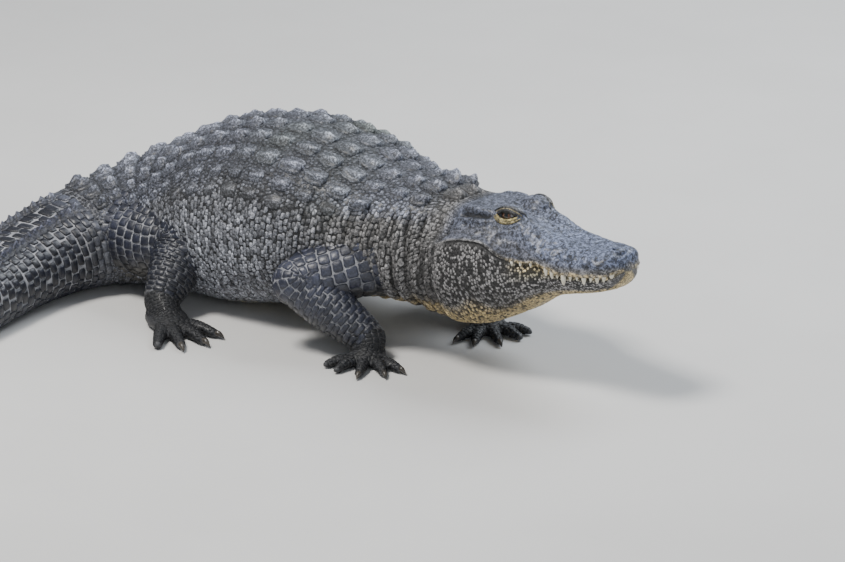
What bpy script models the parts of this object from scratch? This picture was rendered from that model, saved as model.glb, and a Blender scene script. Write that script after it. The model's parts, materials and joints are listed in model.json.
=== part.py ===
"""American alligator, life size, lying on its belly with the chest and head raised, as a still model.

Metres, +Z up. The trunk's front half points along +X and the tail bends to the animal's right, -Y.
The origin is on the floor under the belly's flat, so every piece that touches the floor ends at z = 0.
Places along the animal are distances along its spine, called stations. They begin 14 mm before the snout's tip.
"""

import math
import random

import bmesh
import bpy
import numpy as np
from mathutils import Matrix, Vector

GAP = 0.0003  # between nodes that meet face to face
TOTAL_LENGTH = 2.74
SNOUT_TIP = 0.014
SKULL_REAR = 0.36  # rear edge of the skull table
HEAD_END = 0.38  # plane where head and jaw meet the neck
NECK_BLEND_END = 0.49
NECK_END = 0.56
TORSO_END = 1.34
TAIL_ENDS = (1.62, 1.96, 2.34, TOTAL_LENGTH)
BELLY_STATION = 0.98  # the origin lies under it
SKULL_TOP = 0.312  # height of the skull table over the floor

# Station, heading in degrees seen from above. A rising heading swings the rear of the animal to its right.
HEADING = (
    (0.00, -2), (0.38, -2), (0.47, -1), (0.58, 0), (0.75, 0), (0.95, 6), (1.05, 17), (1.15, 35),
    (1.25, 57), (1.35, 78), (1.45, 94), (1.60, 106), (1.80, 105), (2.00, 87), (2.25, 50), (2.50, 16),
    (2.74, -8),
)
# Station, pitch in degrees, nose up
PITCH = (
    (0.00, 5.5), (0.38, 5.5), (0.47, -2), (0.58, -6), (0.70, -3), (0.80, 4), (0.95, 9), (1.10, 13),
    (1.20, 12), (1.30, 9), (1.40, 6), (1.60, 4), (2.74, 1),
)
# Station, height of back, height of belly, half width, share of the depth below the widest line,
# roundness of the back and of the belly, where 2 is an ellipse and more is squarer
TRUNK = (
    (0.38, 0.318, 0.084, 0.130, 0.44, 2.2, 2.2),
    (0.47, 0.323, 0.080, 0.136, 0.45, 2.2, 2.2),
    (0.58, 0.323, 0.074, 0.160, 0.45, 2.2, 2.2),
    (0.70, 0.354, 0.048, 0.195, 0.43, 2.2, 2.3),
    (0.80, 0.368, 0.018, 0.214, 0.42, 2.2, 2.4),
    (0.95, 0.342, -0.004, 0.218, 0.42, 2.2, 2.6),
    (1.10, 0.270, -0.005, 0.196, 0.43, 2.2, 2.6),
    (1.20, 0.222, -0.004, 0.166, 0.44, 2.3, 2.5),
    (1.30, 0.186, -0.002, 0.138, 0.46, 2.3, 2.4),
    (1.40, 0.161, -0.003, 0.114, 0.46, 2.4, 2.5),
    (1.50, 0.144, -0.004, 0.097, 0.46, 2.4, 2.5),
    (1.75, 0.116, -0.004, 0.070, 0.46, 2.4, 2.5),
    (2.05, 0.091, -0.003, 0.045, 0.46, 2.2, 2.4),
    (2.35, 0.064, -0.003, 0.027, 0.46, 2.0, 2.2),
    (2.60, 0.042, -0.002, 0.014, 0.46, 2.0, 2.0),
    (2.74, 0.022, -0.001, 0.006, 0.46, 2.0, 2.0),
)
# The head's section at each station, as (half width, height over the skull table) of the crown, the brow or
# edge of the snout, the cheek, the lip, the jaw's side, its lower edge, and the throat's depth
HEAD = (
    # station, crown, brow y z, cheek y z, lip y z, jaw y z, lower edge y z, throat
    (0.014, -0.068, 0.008, -0.070, 0.013, -0.077, 0.014, -0.087, 0.012, -0.092, 0.007, -0.096, -0.097),
    (0.019, -0.060, 0.021, -0.062, 0.032, -0.072, 0.034, -0.089, 0.027, -0.101, 0.015, -0.108, -0.110),
    (0.032, -0.054, 0.033, -0.056, 0.050, -0.071, 0.052, -0.093, 0.040, -0.110, 0.024, -0.120, -0.123),
    (0.056, -0.053, 0.039, -0.055, 0.060, -0.071, 0.063, -0.095, 0.048, -0.114, 0.030, -0.128, -0.131),
    (0.085, -0.052, 0.040, -0.053, 0.065, -0.072, 0.069, -0.096, 0.056, -0.117, 0.034, -0.134, -0.139),
    (0.120, -0.048, 0.040, -0.048, 0.068, -0.072, 0.074, -0.097, 0.062, -0.119, 0.038, -0.139, -0.145),
    (0.150, -0.044, 0.041, -0.043, 0.071, -0.067, 0.077, -0.088, 0.067, -0.119, 0.042, -0.143, -0.151),
    (0.180, -0.037, 0.042, -0.034, 0.073, -0.061, 0.081, -0.080, 0.075, -0.121, 0.048, -0.150, -0.160),
    (0.215, -0.024, 0.044, -0.018, 0.076, -0.055, 0.089, -0.083, 0.089, -0.128, 0.055, -0.164, -0.176),
    (0.250, -0.010, 0.047, -0.005, 0.081, -0.047, 0.099, -0.073, 0.101, -0.133, 0.062, -0.183, -0.196),
    (0.285, -0.004, 0.051, -0.002, 0.087, -0.035, 0.111, -0.047, 0.116, -0.129, 0.070, -0.199, -0.211),
    (0.320, -0.001, 0.055, -0.001, 0.092, -0.033, 0.119, -0.045, 0.127, -0.126, 0.078, -0.210, -0.223),
    (0.350, 0.000, 0.058, -0.002, 0.096, -0.036, 0.125, -0.049, 0.132, -0.128, 0.082, -0.215, -0.229),
    (0.380, 0.001, 0.057, -0.006, 0.099, -0.044, 0.127, -0.060, 0.133, -0.133, 0.084, -0.218, -0.233),
)
LIP_INSET = 0.0085  # how far the lower lip lies inside the upper one, where the teeth hang over it
INSET_END = 0.27  # the inset fades out by here, at the corner of the mouth
UPPER_STEPS, LOWER_STEPS = 8, 6  # points on half of a section, above and below the mouth line
RING = 2 * (UPPER_STEPS + LOWER_STEPS)

EYE = {"station": 0.262, "out": 0.041, "height": -0.008, "radius": 0.0165, "mound": (0.036, 0.0235, 0.0215)}
EYE_OPENING = {"long": 0.0190, "tall": 0.0082, "deep": 0.011}
NOSTRIL = {"station": 0.038, "out": 0.0105, "mound": (0.017, 0.019, 0.008), "slit": (0.0060, 0.0028, 0.005)}
EAR = {"station": 0.322, "out": 0.060, "height": -0.012, "size": (0.032, 0.010, 0.0026)}

TOOTH_ROWS = (  # station and length of each upper tooth that shows, on both sides
    (0.023, 0.007), (0.033, 0.009), (0.044, 0.011), (0.056, 0.008), (0.070, 0.014), (0.085, 0.007),
    (0.099, 0.009), (0.114, 0.018), (0.128, 0.008), (0.140, 0.014), (0.153, 0.015), (0.186, 0.008),
    (0.206, 0.006), (0.222, 0.006),
)
TOOTH_WIDTH = 0.38  # of its length

# Joints of the legs: (forward of the girdle, out from the midline, height). A foot turns out by toes_out degrees.
LEGS = {
    "foreleg_right": {
        "girdle": 0.58, "side": -1, "fore": True,
        "root": (0.022, 0.082, 0.168), "bend": (-0.075, 0.212, 0.132), "ankle": (0.066, 0.166, 0.040),
        "foot": (0.080, 0.186), "toes_out": 60,
    },
    "foreleg_left": {
        "girdle": 0.58, "side": 1, "fore": True,
        "root": (0.022, 0.082, 0.168), "bend": (-0.025, 0.195, 0.125), "ankle": (0.115, 0.112, 0.040),
        "foot": (0.142, 0.094), "toes_out": -34,
    },
    "hindleg_right": {
        "girdle": 1.24, "side": -1, "fore": False,
        "root": (0.000, 0.070, 0.108), "bend": (0.085, 0.212, 0.125), "ankle": (0.022, 0.285, 0.042),
        "foot": (0.026, 0.325), "toes_out": 78,
    },
    "hindleg_left": {
        "girdle": 1.24, "side": 1, "fore": False,
        "root": (0.000, 0.070, 0.105), "bend": (0.085, 0.215, 0.110), "ankle": (0.010, 0.268, 0.042),
        "foot": (0.040, 0.300), "toes_out": 45,
    },
}
FORE_SIZES = {"root": 0.067, "upper": 0.057, "bend": 0.048, "lower": 0.045, "ankle": 0.033}
HIND_SIZES = {"root": 0.080, "upper": 0.073, "bend": 0.055, "lower": 0.048, "ankle": 0.034}
FORE_FOOT = {"palm": (0.040, 0.036, 0.019), "toes": (0.048, 0.060, 0.066, 0.058, 0.046), "spread": 27,
             "thick": 0.0105, "claws": 3, "claw": 0.019, "web": 0.36}
HIND_FOOT = {"palm": (0.062, 0.040, 0.021), "toes": (0.080, 0.098, 0.100, 0.088), "spread": 19,
             "thick": 0.0125, "claws": 3, "claw": 0.024, "web": 0.62}

SCUTE_ROWS = (  # station, plates on each side, their pitch across, length and height of a plate
    (0.418, 1, 0.046, 0.044, 0.015), (0.470, 2, 0.046, 0.046, 0.017), (0.524, 2, 0.046, 0.044, 0.014),
    (0.588, 2, 0.047, 0.044, 0.012), (0.640, 3, 0.047, 0.045, 0.012), (0.692, 3, 0.048, 0.046, 0.012),
    (0.744, 3, 0.049, 0.046, 0.012), (0.796, 3, 0.050, 0.046, 0.012), (0.848, 3, 0.050, 0.046, 0.012),
    (0.900, 3, 0.050, 0.046, 0.012), (0.952, 3, 0.049, 0.046, 0.012), (1.004, 3, 0.048, 0.046, 0.012),
    (1.056, 3, 0.046, 0.045, 0.012), (1.106, 3, 0.043, 0.043, 0.012), (1.154, 2, 0.042, 0.042, 0.013),
    (1.202, 2, 0.041, 0.042, 0.014), (1.250, 2, 0.039, 0.041, 0.015), (1.298, 2, 0.037, 0.040, 0.016),
)
PLATE_WIDTH = 0.88  # of the pitch
PLATE_SUNK = 0.006
PLATE_OUTLINE = ((1.0, 0.62), (0.15, 1.0), (-0.95, 0.74))  # half a plate, as shares of its half length and width
CREST = {"start": 1.362, "end": 2.670, "pitch": 0.0405, "single_from": 2.060}
CREST_SIZES = (  # station, distance of each row from the midline, length, height and thickness of a blade
    (1.36, 0.0330, 0.037, 0.019, 0.016), (1.70, 0.0240, 0.037, 0.026, 0.014),
    (2.04, 0.0110, 0.036, 0.029, 0.012), (2.08, 0.0000, 0.036, 0.031, 0.012),
    (2.40, 0.0000, 0.034, 0.024, 0.008), (2.67, 0.0000, 0.030, 0.012, 0.005),
)
SEED = 11

COLOURS = {  # colour, roughness
    "hide": ((0.070, 0.072, 0.085, 1), 0.55),
    "head_hide": ((0.150, 0.160, 0.200, 1), 0.50),
    "jaw_hide": ((0.260, 0.240, 0.180, 1), 0.60),
    "eye": ((0.060, 0.030, 0.015, 1), 0.08),
}


def clear_scene():
    for item in list(bpy.data.objects):
        bpy.data.objects.remove(item)


def make_collection(name):
    made = bpy.data.collections.new(name)
    bpy.context.scene.collection.children.link(made)
    return made


def make_material(name):
    colour, roughness = COLOURS[name]
    made = bpy.data.materials.new(name)
    made.use_nodes = True
    shader = made.node_tree.nodes["Principled BSDF"]
    shader.inputs["Base Color"].default_value = colour
    shader.inputs["Roughness"].default_value = roughness
    shader.inputs["Metallic"].default_value = 0.0
    made.diffuse_color = colour
    return made


def curve(rows, where):
    """The columns of a table at one station, on a smooth curve that never overshoots its rows."""
    table = np.asarray(rows, float)
    x, y = table[:, 0], table[:, 1:]
    step = np.diff(x)[:, None]
    slope = np.diff(y, axis=0) / step
    both = slope[:-1] * slope[1:]
    total = slope[:-1] + slope[1:]
    tangent = np.zeros_like(y)
    tangent[0], tangent[-1] = slope[0], slope[-1]
    tangent[1:-1] = np.where(both > 0, 2 * both / np.where(both > 0, total, 1), 0)
    i = int(np.clip(np.searchsorted(x, where) - 1, 0, len(x) - 2))
    h = x[i + 1] - x[i]
    t = min(max((where - x[i]) / h, 0.0), 1.0)
    return (
        (1 + 2 * t) * (1 - t) ** 2 * y[i] + t * (1 - t) ** 2 * h * tangent[i]
        + t * t * (3 - 2 * t) * y[i + 1] + t * t * (t - 1) * h * tangent[i + 1]
    )


def trace_spine():
    """The spine's plan as seen from above: stations and points, with the belly station over the origin."""
    stations = np.linspace(0, TOTAL_LENGTH, 549)
    angles = np.radians([curve(HEADING, s)[0] for s in stations])
    middle = (angles[1:] + angles[:-1]) / 2
    steps = np.diff(stations)[:, None] * -np.column_stack([np.cos(middle), np.sin(middle)])
    plan = np.vstack([[0, 0], np.cumsum(steps, axis=0)])
    origin = [np.interp(BELLY_STATION, stations, plan[:, axis]) for axis in (0, 1)]
    return stations, plan - origin


SPINE = trace_spine()


def axes_at(station):
    """Unit vectors forward, left and up of the body at a station."""
    turn = math.radians(curve(HEADING, station)[0])
    lift = math.radians(curve(PITCH, station)[0])
    forward = Vector((math.cos(lift) * math.cos(turn), math.cos(lift) * math.sin(turn), math.sin(lift)))
    left = Vector((-math.sin(turn), math.cos(turn), 0))
    return forward, left, forward.cross(left)


def plan_at(station):
    return Vector([float(np.interp(station, SPINE[0], SPINE[1][:, axis])) for axis in (0, 1)] + [0])


def head_point(station, out, height):
    """A point of the head: station, distance left of its midline, and height over the skull table."""
    forward, left, up = axes_at(SKULL_REAR)
    pivot = plan_at(SKULL_REAR) + Vector((0, 0, SKULL_TOP))
    return pivot + forward * (SKULL_REAR - station) + left * out + up * height


def through(points, count):
    """Points spaced evenly in parameter on a Catmull-Rom curve through the given ones."""
    before = 2 * np.array(points[0]) - points[1]
    after = 2 * np.array(points[-1]) - points[-2]
    p = np.asarray([before, *points, after], float)
    found = []
    for t in np.linspace(0, len(points) - 1, count):
        i = min(int(t), len(points) - 2)
        u = t - i
        a, b, c, d = p[i:i + 4]
        found.append(0.5 * (2 * b + (c - a) * u + (2 * a - 5 * b + 4 * c - d) * u * u
                            + (3 * b - a - 3 * c + d) * u ** 3))
    return found


def lip_inset(station):
    return LIP_INSET * float(np.clip((INSET_END - station) / 0.08, 0, 1)) * min(1, curve(HEAD, station)[5] / 0.04)


def head_half(station):
    """The head's section on its left half as (out, height), from crown to lip and from lower lip to throat."""
    v = curve(HEAD, station)
    upper = through([(0, v[0]), (v[1], v[2]), (v[3], v[4]), (v[5], v[6])], UPPER_STEPS + 1)
    lip = v[5] - lip_inset(station)
    lower = through([(lip, v[6]), (v[7], v[8]), (v[9], v[10]), (0, v[11])], LOWER_STEPS + 1)
    return upper, lower


def trunk_half(station, grow=0.0):
    """The trunk's or tail's section on its left half, from back to belly, as (out, height over the floor)."""
    back, belly, half, share, top_power, low_power = curve(TRUNK, station)
    middle = belly + share * (back - belly)
    points = []
    for k in range(RING // 2 + 1):
        angle = math.pi * k / (RING // 2)
        power, reach = (top_power, back - middle) if angle <= math.pi / 2 else (low_power, middle - belly)
        out = (half + grow) * abs(math.sin(angle)) ** (2 / power)
        rise = (reach + grow) * math.copysign(abs(math.cos(angle)) ** (2 / power), math.cos(angle))
        points.append((0.0 if k in (0, RING // 2) else out, rise))
    return middle, points


def whole_ring(half):
    """Both halves of a section, running from the top down the left side and back up the right."""
    return list(half) + [(-y, z) for y, z in reversed(half[1:-1])]


def body_ring(station, grow=0.0):
    """One ring of neck, torso or tail in space. Behind the head it turns from the head's section to its own."""
    forward, left, up = axes_at(station)
    middle, half = trunk_half(station, grow)
    centre = plan_at(station) + Vector((0, 0, middle))
    ring = [centre + left * y + up * z for y, z in whole_ring(half)]
    if station < NECK_BLEND_END:
        upper, lower = head_half(HEAD_END)
        head = [(y + grow * min(1, y / 0.02), z) for y, z in [*upper, *lower[1:]]]
        t = max(0.0, (station - HEAD_END) / (NECK_BLEND_END - HEAD_END))
        t = t * t * (3 - 2 * t)
        pivot = head_point(station, 0, 0)
        ring = [(pivot + left * y + up * z).lerp(p, t) for (y, z), p in zip(whole_ring(head), ring)]
    return ring


def loft(name, rings, material, home):
    """A closed skin of triangles over rings of equal count, with a flat cap at each end."""
    mesh = bpy.data.meshes.new(name)
    count = len(rings[0])
    points = [tuple(p) for ring in rings for p in ring]
    faces = []
    for i in range(len(rings) - 1):
        for k in range(count):
            a, b = i * count + k, i * count + (k + 1) % count
            faces += [(a, b, b + count), (a, b + count, a + count)]
    faces.append(tuple(range(count - 1, -1, -1)))
    faces.append(tuple(range((len(rings) - 1) * count, len(rings) * count)))
    mesh.from_pydata(points, [], faces)
    return finish_mesh(name, mesh, material, home)


def finish_mesh(name, mesh, material, home):
    shape = bmesh.new()
    shape.from_mesh(mesh)
    bmesh.ops.remove_doubles(shape, verts=shape.verts, dist=1e-6)
    bmesh.ops.recalc_face_normals(shape, faces=shape.faces)
    shape.to_mesh(mesh)
    shape.free()
    mesh.materials.append(material)
    made = bpy.data.objects.new(name, mesh)
    home.objects.link(made)
    return made


def ellipsoid(name, centre, sizes, axes, material, home, segments=12, rings=7):
    """A stretched ball. Its sizes are half lengths along the three axes."""
    shape = bmesh.new()
    bmesh.ops.create_uvsphere(shape, u_segments=segments, v_segments=rings, radius=1)
    turn = Matrix([list(a) for a in axes]).transposed().to_4x4()
    place = Matrix.Translation(centre) @ turn @ Matrix.Diagonal((*sizes, 1))
    bmesh.ops.transform(shape, matrix=place, verts=shape.verts)
    mesh = bpy.data.meshes.new(name)
    shape.to_mesh(mesh)
    shape.free()
    return finish_mesh(name, mesh, material, home)


def apply_boolean(target, operation, others, solver="EXACT"):
    """Joins or cuts the target with mesh objects, applies the result and removes them."""
    group = bpy.data.collections.new("operands")
    for other in others:
        group.objects.link(other)
    step = target.modifiers.new(operation.lower(), "BOOLEAN")
    step.operation = operation
    step.operand_type = "COLLECTION"
    step.collection = group
    step.solver = solver
    graph = bpy.context.evaluated_depsgraph_get()
    result = bpy.data.meshes.new_from_object(target.evaluated_get(graph))
    target.modifiers.remove(step)
    target.data = result
    for other in others:
        bpy.data.objects.remove(other)
    bpy.data.collections.remove(group)
    keep_largest(target)


def keep_largest(target):
    """Leaves only the largest closed surface of a node, as triangles."""
    shape = bmesh.new()
    shape.from_mesh(target.data)
    bmesh.ops.remove_doubles(shape, verts=shape.verts, dist=2e-6)
    bmesh.ops.triangulate(shape, faces=shape.faces)
    unseen, pieces = set(shape.faces), []
    while unseen:
        piece, edge = set(), [unseen.pop()]
        while edge:
            face = edge.pop()
            piece.add(face)
            near = {f for e in face.edges for f in e.link_faces} & unseen
            unseen -= near
            edge.extend(near)
        pieces.append(piece)
    pieces.sort(key=lambda faces: sum(f.calc_area() for f in faces))
    bmesh.ops.delete(shape, geom=[f for piece in pieces[:-1] for f in piece], context="FACES")
    shape.to_mesh(target.data)
    shape.free()


def floor_block(home):
    """What lies below the floor, cut from every piece that would reach it, which leaves the flats it rests on."""
    bpy.ops.mesh.primitive_cube_add(size=1, location=(0, 0, -0.25))
    block = bpy.context.object
    block.scale = (6, 6, 0.5)
    bpy.ops.object.transform_apply(location=True, rotation=False, scale=True)
    block.name = "floor_block"
    for old in list(block.users_collection):
        old.objects.unlink(block)
    home.objects.link(block)
    return block


def spaced(first, last, step):
    return list(np.linspace(first, last, max(2, round((last - first) / step) + 1)))


def body_length(name, first, last, step, material, home, grow=0.0, skip=1):
    """A length of neck, torso or tail between two stations. A skip of 2 takes every other point of a ring."""
    stations = spaced(first + GAP / 2, last - GAP / 2, step)
    if grow:
        stations = [stations[0] - grow, *stations, stations[-1] + grow]
    return loft(name, [body_ring(s, grow)[::skip] for s in stations], material, home)


def head_rings(part):
    """Rings of the head above the mouth line, or of the jaw below it."""
    forward, left, up = axes_at(SKULL_REAR)
    rings = []
    stations = [SNOUT_TIP, 0.0155, 0.019, 0.025, *spaced(0.034, HEAD_END - GAP / 2, 0.0185)]
    for station in stations:
        upper, lower = head_half(station)
        if part == "upper":
            half = upper
            closing = [(y * share, z) for (y, z) in [upper[-1]] for share in (0.5, 0.0)]
        else:
            drop = 0.0006
            half = [(y, z - drop * (k == 0)) for k, (y, z) in enumerate(lower)][::-1]
            closing = [(lower[0][0] * share, lower[0][1] - drop) for share in (0.5, 0.0)]
        loop = whole_ring([*half, *closing])
        rings.append([head_point(station, y, z) for y, z in loop])
    return rings


def limb_rings(points, sizes, sides=10, steps=6, flat=1.0, grow=0.0, domes=((0.95, 0.28), (0.70, 0.72))):
    """Rings of a rounded limb through its joints, with a domed end at both."""
    path = [Vector(p) for p in through([tuple(p) for p in points], steps)]
    widths = [float(w[0]) for w in through([(s,) for s in sizes], steps)]
    start, end = (path[0] - path[1]).normalized(), (path[-1] - path[-2]).normalized()
    rows = [(path[0] + start * widths[0] * d, widths[0] * w) for d, w in domes]
    rows += list(zip(path, widths))
    rows += [(path[-1] + end * widths[-1] * d, widths[-1] * w) for d, w in reversed(domes)]
    rings = []
    for i, (centre, width) in enumerate(rows):
        along = (rows[min(i + 1, len(rows) - 1)][0] - rows[max(i - 1, 0)][0]).normalized()
        side = along.cross(Vector((0, 0, 1)))
        side = side.normalized() if side.length > 1e-3 else Vector((0, 1, 0))
        rise = side.cross(along)
        rings.append([
            centre + side * (width + grow) * math.cos(a) + rise * (width * flat + grow) * math.sin(a)
            for a in (2 * math.pi * k / sides for k in range(sides))
        ])
    return rings


def leg_point(leg, place):
    """A joint of a leg in space, from its place relative to the spine at the leg's girdle."""
    turn = math.radians(curve(HEADING, leg["girdle"])[0])
    forward, left = Vector((math.cos(turn), math.sin(turn), 0)), Vector((-math.sin(turn), math.cos(turn), 0))
    height = place[2] if len(place) > 2 else 0
    return plan_at(leg["girdle"]) + forward * place[0] + left * place[1] * leg["side"] + Vector((0, 0, height))


def leg_segment(leg, which, grow=0.0):
    """Rings of the upper or lower part of a leg."""
    sizes = FORE_SIZES if leg["fore"] else HIND_SIZES
    ends, keys = (("root", "bend"), ("root", "upper", "bend")) if which == "upper" else \
        (("bend", "ankle"), ("bend", "lower", "ankle"))
    a, b = (leg_point(leg, leg[e]) for e in ends)
    widths = [sizes[k] for k in keys]
    if which == "lower":
        widths[0] *= 0.94
    return limb_rings([a, (a + b) / 2, b], widths, grow=grow)


def foot_pieces(name, leg, material, home):
    """Palm, toes, claws and web of one foot, as closed meshes to be joined."""
    size = FORE_FOOT if leg["fore"] else HIND_FOOT
    middle = leg_point(leg, leg["foot"])
    turn = curve(HEADING, leg["girdle"])[0] + leg["side"] * leg["toes_out"]
    long, wide, thick = size["palm"]
    forward = Vector((math.cos(math.radians(turn)), math.sin(math.radians(turn)), 0))
    left = Vector((-forward.y, forward.x, 0))
    up = Vector((0, 0, 1))
    palm = ellipsoid(name, middle + up * thick * 0.75, (long, wide, thick), (forward, left, up), material, home)
    ankle = leg_point(leg, leg["ankle"])
    root = (FORE_SIZES if leg["fore"] else HIND_SIZES)["ankle"]
    path = [ankle, ankle.lerp(middle + up * thick, 0.6), middle + forward * long * 0.3 + up * thick * 0.8]
    instep = limb_rings(path, [root * 0.93, root * 0.9, thick * 0.95], sides=8, steps=4)
    pieces = [loft("instep", instep, material, home)]
    count = len(size["toes"])
    ends = []
    for i, length in enumerate(size["toes"]):
        swing = math.radians(size["spread"] * (i - (count - 1) / 2)) * leg["side"]
        aim = (forward * math.cos(swing) + left * math.sin(swing)).normalized()
        base = middle + forward * long * 0.45 + left * math.sin(swing) * wide * 1.15
        t = size["thick"]
        joints = [base + up * t, base + aim * length * 0.5 + up * (t * 1.15), base + aim * length + up * t * 0.72]
        toe_rings = limb_rings(joints, [t * 1.1, t, t * 0.68], sides=6, steps=4, flat=0.9, domes=((0.8, 0.5),))
        pieces.append(loft("toe", toe_rings, material, home))
        ends.append((base, aim, length))
        if i < size["claws"]:
            tip = joints[-1]
            claw = [tip, tip + aim * size["claw"] * 0.6 + up * 0.001, tip + aim * size["claw"] - up * t * 0.45]
            claw_rings = limb_rings(claw, [t * 0.5, t * 0.36, t * 0.10], sides=5, steps=3, domes=((0.8, 0.4),))
            pieces.append(loft("claw", claw_rings, material, home))
    pieces.append(web_between(ends, size, middle, up, material, home))
    return palm, pieces


def web_between(toes, size, middle, up, material, home):
    """The web between the toes: a thin plate with a hollow edge from toe to toe."""
    share, thick = size["web"], 0.0036
    outline = [middle]
    for i, (base, aim, length) in enumerate(toes):
        outline.append(base + aim * length * share)
        if i + 1 < len(toes):
            following = toes[i + 1]
            far = following[0] + following[1] * following[2] * share
            outline.append((outline[-1] + far) / 2 - (aim + following[1]) * length * 0.06)
    low, high = [p + up * 0.0035 for p in outline], [p + up * (0.0035 + thick) for p in outline]
    return loft("web", [low, high], material, home)


def surface_at(station, across):
    """A point on neck, torso or tail at a distance across from the back's midline, with its axes."""

    def walk(where):
        ring = body_ring(where)
        ring = ring if across >= 0 else [ring[0], *ring[:0:-1]]
        left = abs(across)
        for here, there in zip(ring, ring[1:]):
            step = (there - here).length
            if left <= step:
                return here.lerp(there, left / step), there - here
            left -= step
        return ring[-1], there - here

    point, around = walk(station)
    along = (walk(station - 0.012)[0] - walk(station + 0.012)[0]).normalized()
    outward = along.cross(around).normalized()
    outward *= 1 if outward.dot(point - plan_at(station)) > 0 else -1
    return point, along, outward.cross(along).normalized(), outward


def solid_from(name, points, faces, material, home):
    mesh = bpy.data.meshes.new(name)
    mesh.from_pydata([tuple(p) for p in points], [], faces)
    return finish_mesh(name, mesh, material, home)


def keeled_plate(station, across, length, width, height, turn, material, home):
    """A back plate: a raised rim with a keel that rises to its rear end, and a root sunk in the body."""
    point, along, side, outward = surface_at(station, across)
    along, side = along * math.cos(turn) + side * math.sin(turn), side * math.cos(turn) - along * math.sin(turn)
    half = [(x * length / 2, y * width / 2) for x, y in PLATE_OUTLINE]
    outline = half + [(x, -y) for x, y in reversed(half)]
    bottom = [point + along * x + side * y - outward * PLATE_SUNK for x, y in outline]
    rim = [point + along * x * 0.94 + side * y * 0.94 + outward * height * 0.30 for x, y in outline]
    keel = [point + along * length * 0.34 + outward * height * 0.62, point - along * length * 0.36 + outward * height]
    points = bottom + rim + keel
    faces = [tuple(range(6))]
    faces += [(k, (k + 1) % 6, (k + 1) % 6 + 6, k + 6) for k in range(6)]
    faces += [(6, 7, 12), (7, 13, 12), (7, 8, 13), (8, 9, 13), (9, 10, 13), (10, 12, 13), (10, 11, 12), (11, 6, 12)]
    return solid_from("plate", points, faces, material, home)


def crest_blade(station, across, length, height, thick, material, home):
    """One blade of the tail's crest, leaning back, with its root sunk in the tail."""
    point, along, side, outward = surface_at(station, across)
    upward = (outward + Vector((0, 0, 1))).normalized()
    side = upward.cross(along).normalized()
    corners = ((0.5, -0.35), (0.5, 0.35), (-0.5, 0.5), (-0.5, -0.5))
    points = [point + along * length * x + side * thick * y - upward * PLATE_SUNK for x, y in corners]
    points += [point + along * length * x + upward * height * z for x, z in ((0.05, 0.62), (-0.42, 1.0))]
    faces = [(0, 1, 2, 3), (0, 1, 4), (1, 2, 5, 4), (2, 3, 5), (3, 0, 4, 5)]
    return solid_from("blade", points, faces, material, home)


def back_plates(first, last, material, home):
    """The plates and crest blades whose middles lie between two stations."""
    made = []
    chance = random.Random(SEED)
    for station, count, pitch, length, height in SCUTE_ROWS:
        for across in [side * (k + 0.5) * pitch for side in (-1, 1) for k in range(count)]:
            size, turn = chance.uniform(0.95, 1.04), chance.uniform(-0.06, 0.06)
            if first < station < last:
                sizes = length * size, pitch * PLATE_WIDTH * size, height * size
                made.append(keeled_plate(station, across, *sizes, turn, material, home))
    for station in np.arange(CREST["start"], CREST["end"], CREST["pitch"]):
        away, length, height, thick = curve(CREST_SIZES, station)
        size = chance.uniform(0.92, 1.06)
        sides = (-1, 1) if station < CREST["single_from"] else (0,)
        if first < station - length / 2 and station + length / 2 < last:
            made += [crest_blade(station, s * away, length, height * size, thick, material, home) for s in sides]
    return made


def cut_with(target, others):
    apply_boolean(target, "DIFFERENCE", others)


def tooth(station, length, side, material, home):
    """A cone that hangs from the upper lip over the lower one."""
    v = curve(HEAD, station)
    width = length * TOOTH_WIDTH / 2 + 0.0004
    out = v[5] - lip_inset(station) + width + 0.0006
    shape = bmesh.new()
    bmesh.ops.create_cone(shape, cap_ends=True, segments=5, radius1=width, radius2=width * 0.25, depth=1)
    sunk = 0.006
    top = head_point(station, side * out, v[6] + sunk)
    bottom = head_point(station, side * (out + 0.0010), v[6] - length)
    along = bottom - top
    turn = along.to_track_quat("Z", "Y").to_matrix().to_4x4()
    place = Matrix.Translation((top + bottom) / 2) @ turn @ Matrix.Diagonal((1, 1, along.length, 1))
    bmesh.ops.transform(shape, matrix=place, verts=shape.verts)
    mesh = bpy.data.meshes.new("tooth")
    shape.to_mesh(mesh)
    shape.free()
    return finish_mesh("tooth", mesh, material, home)


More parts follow.
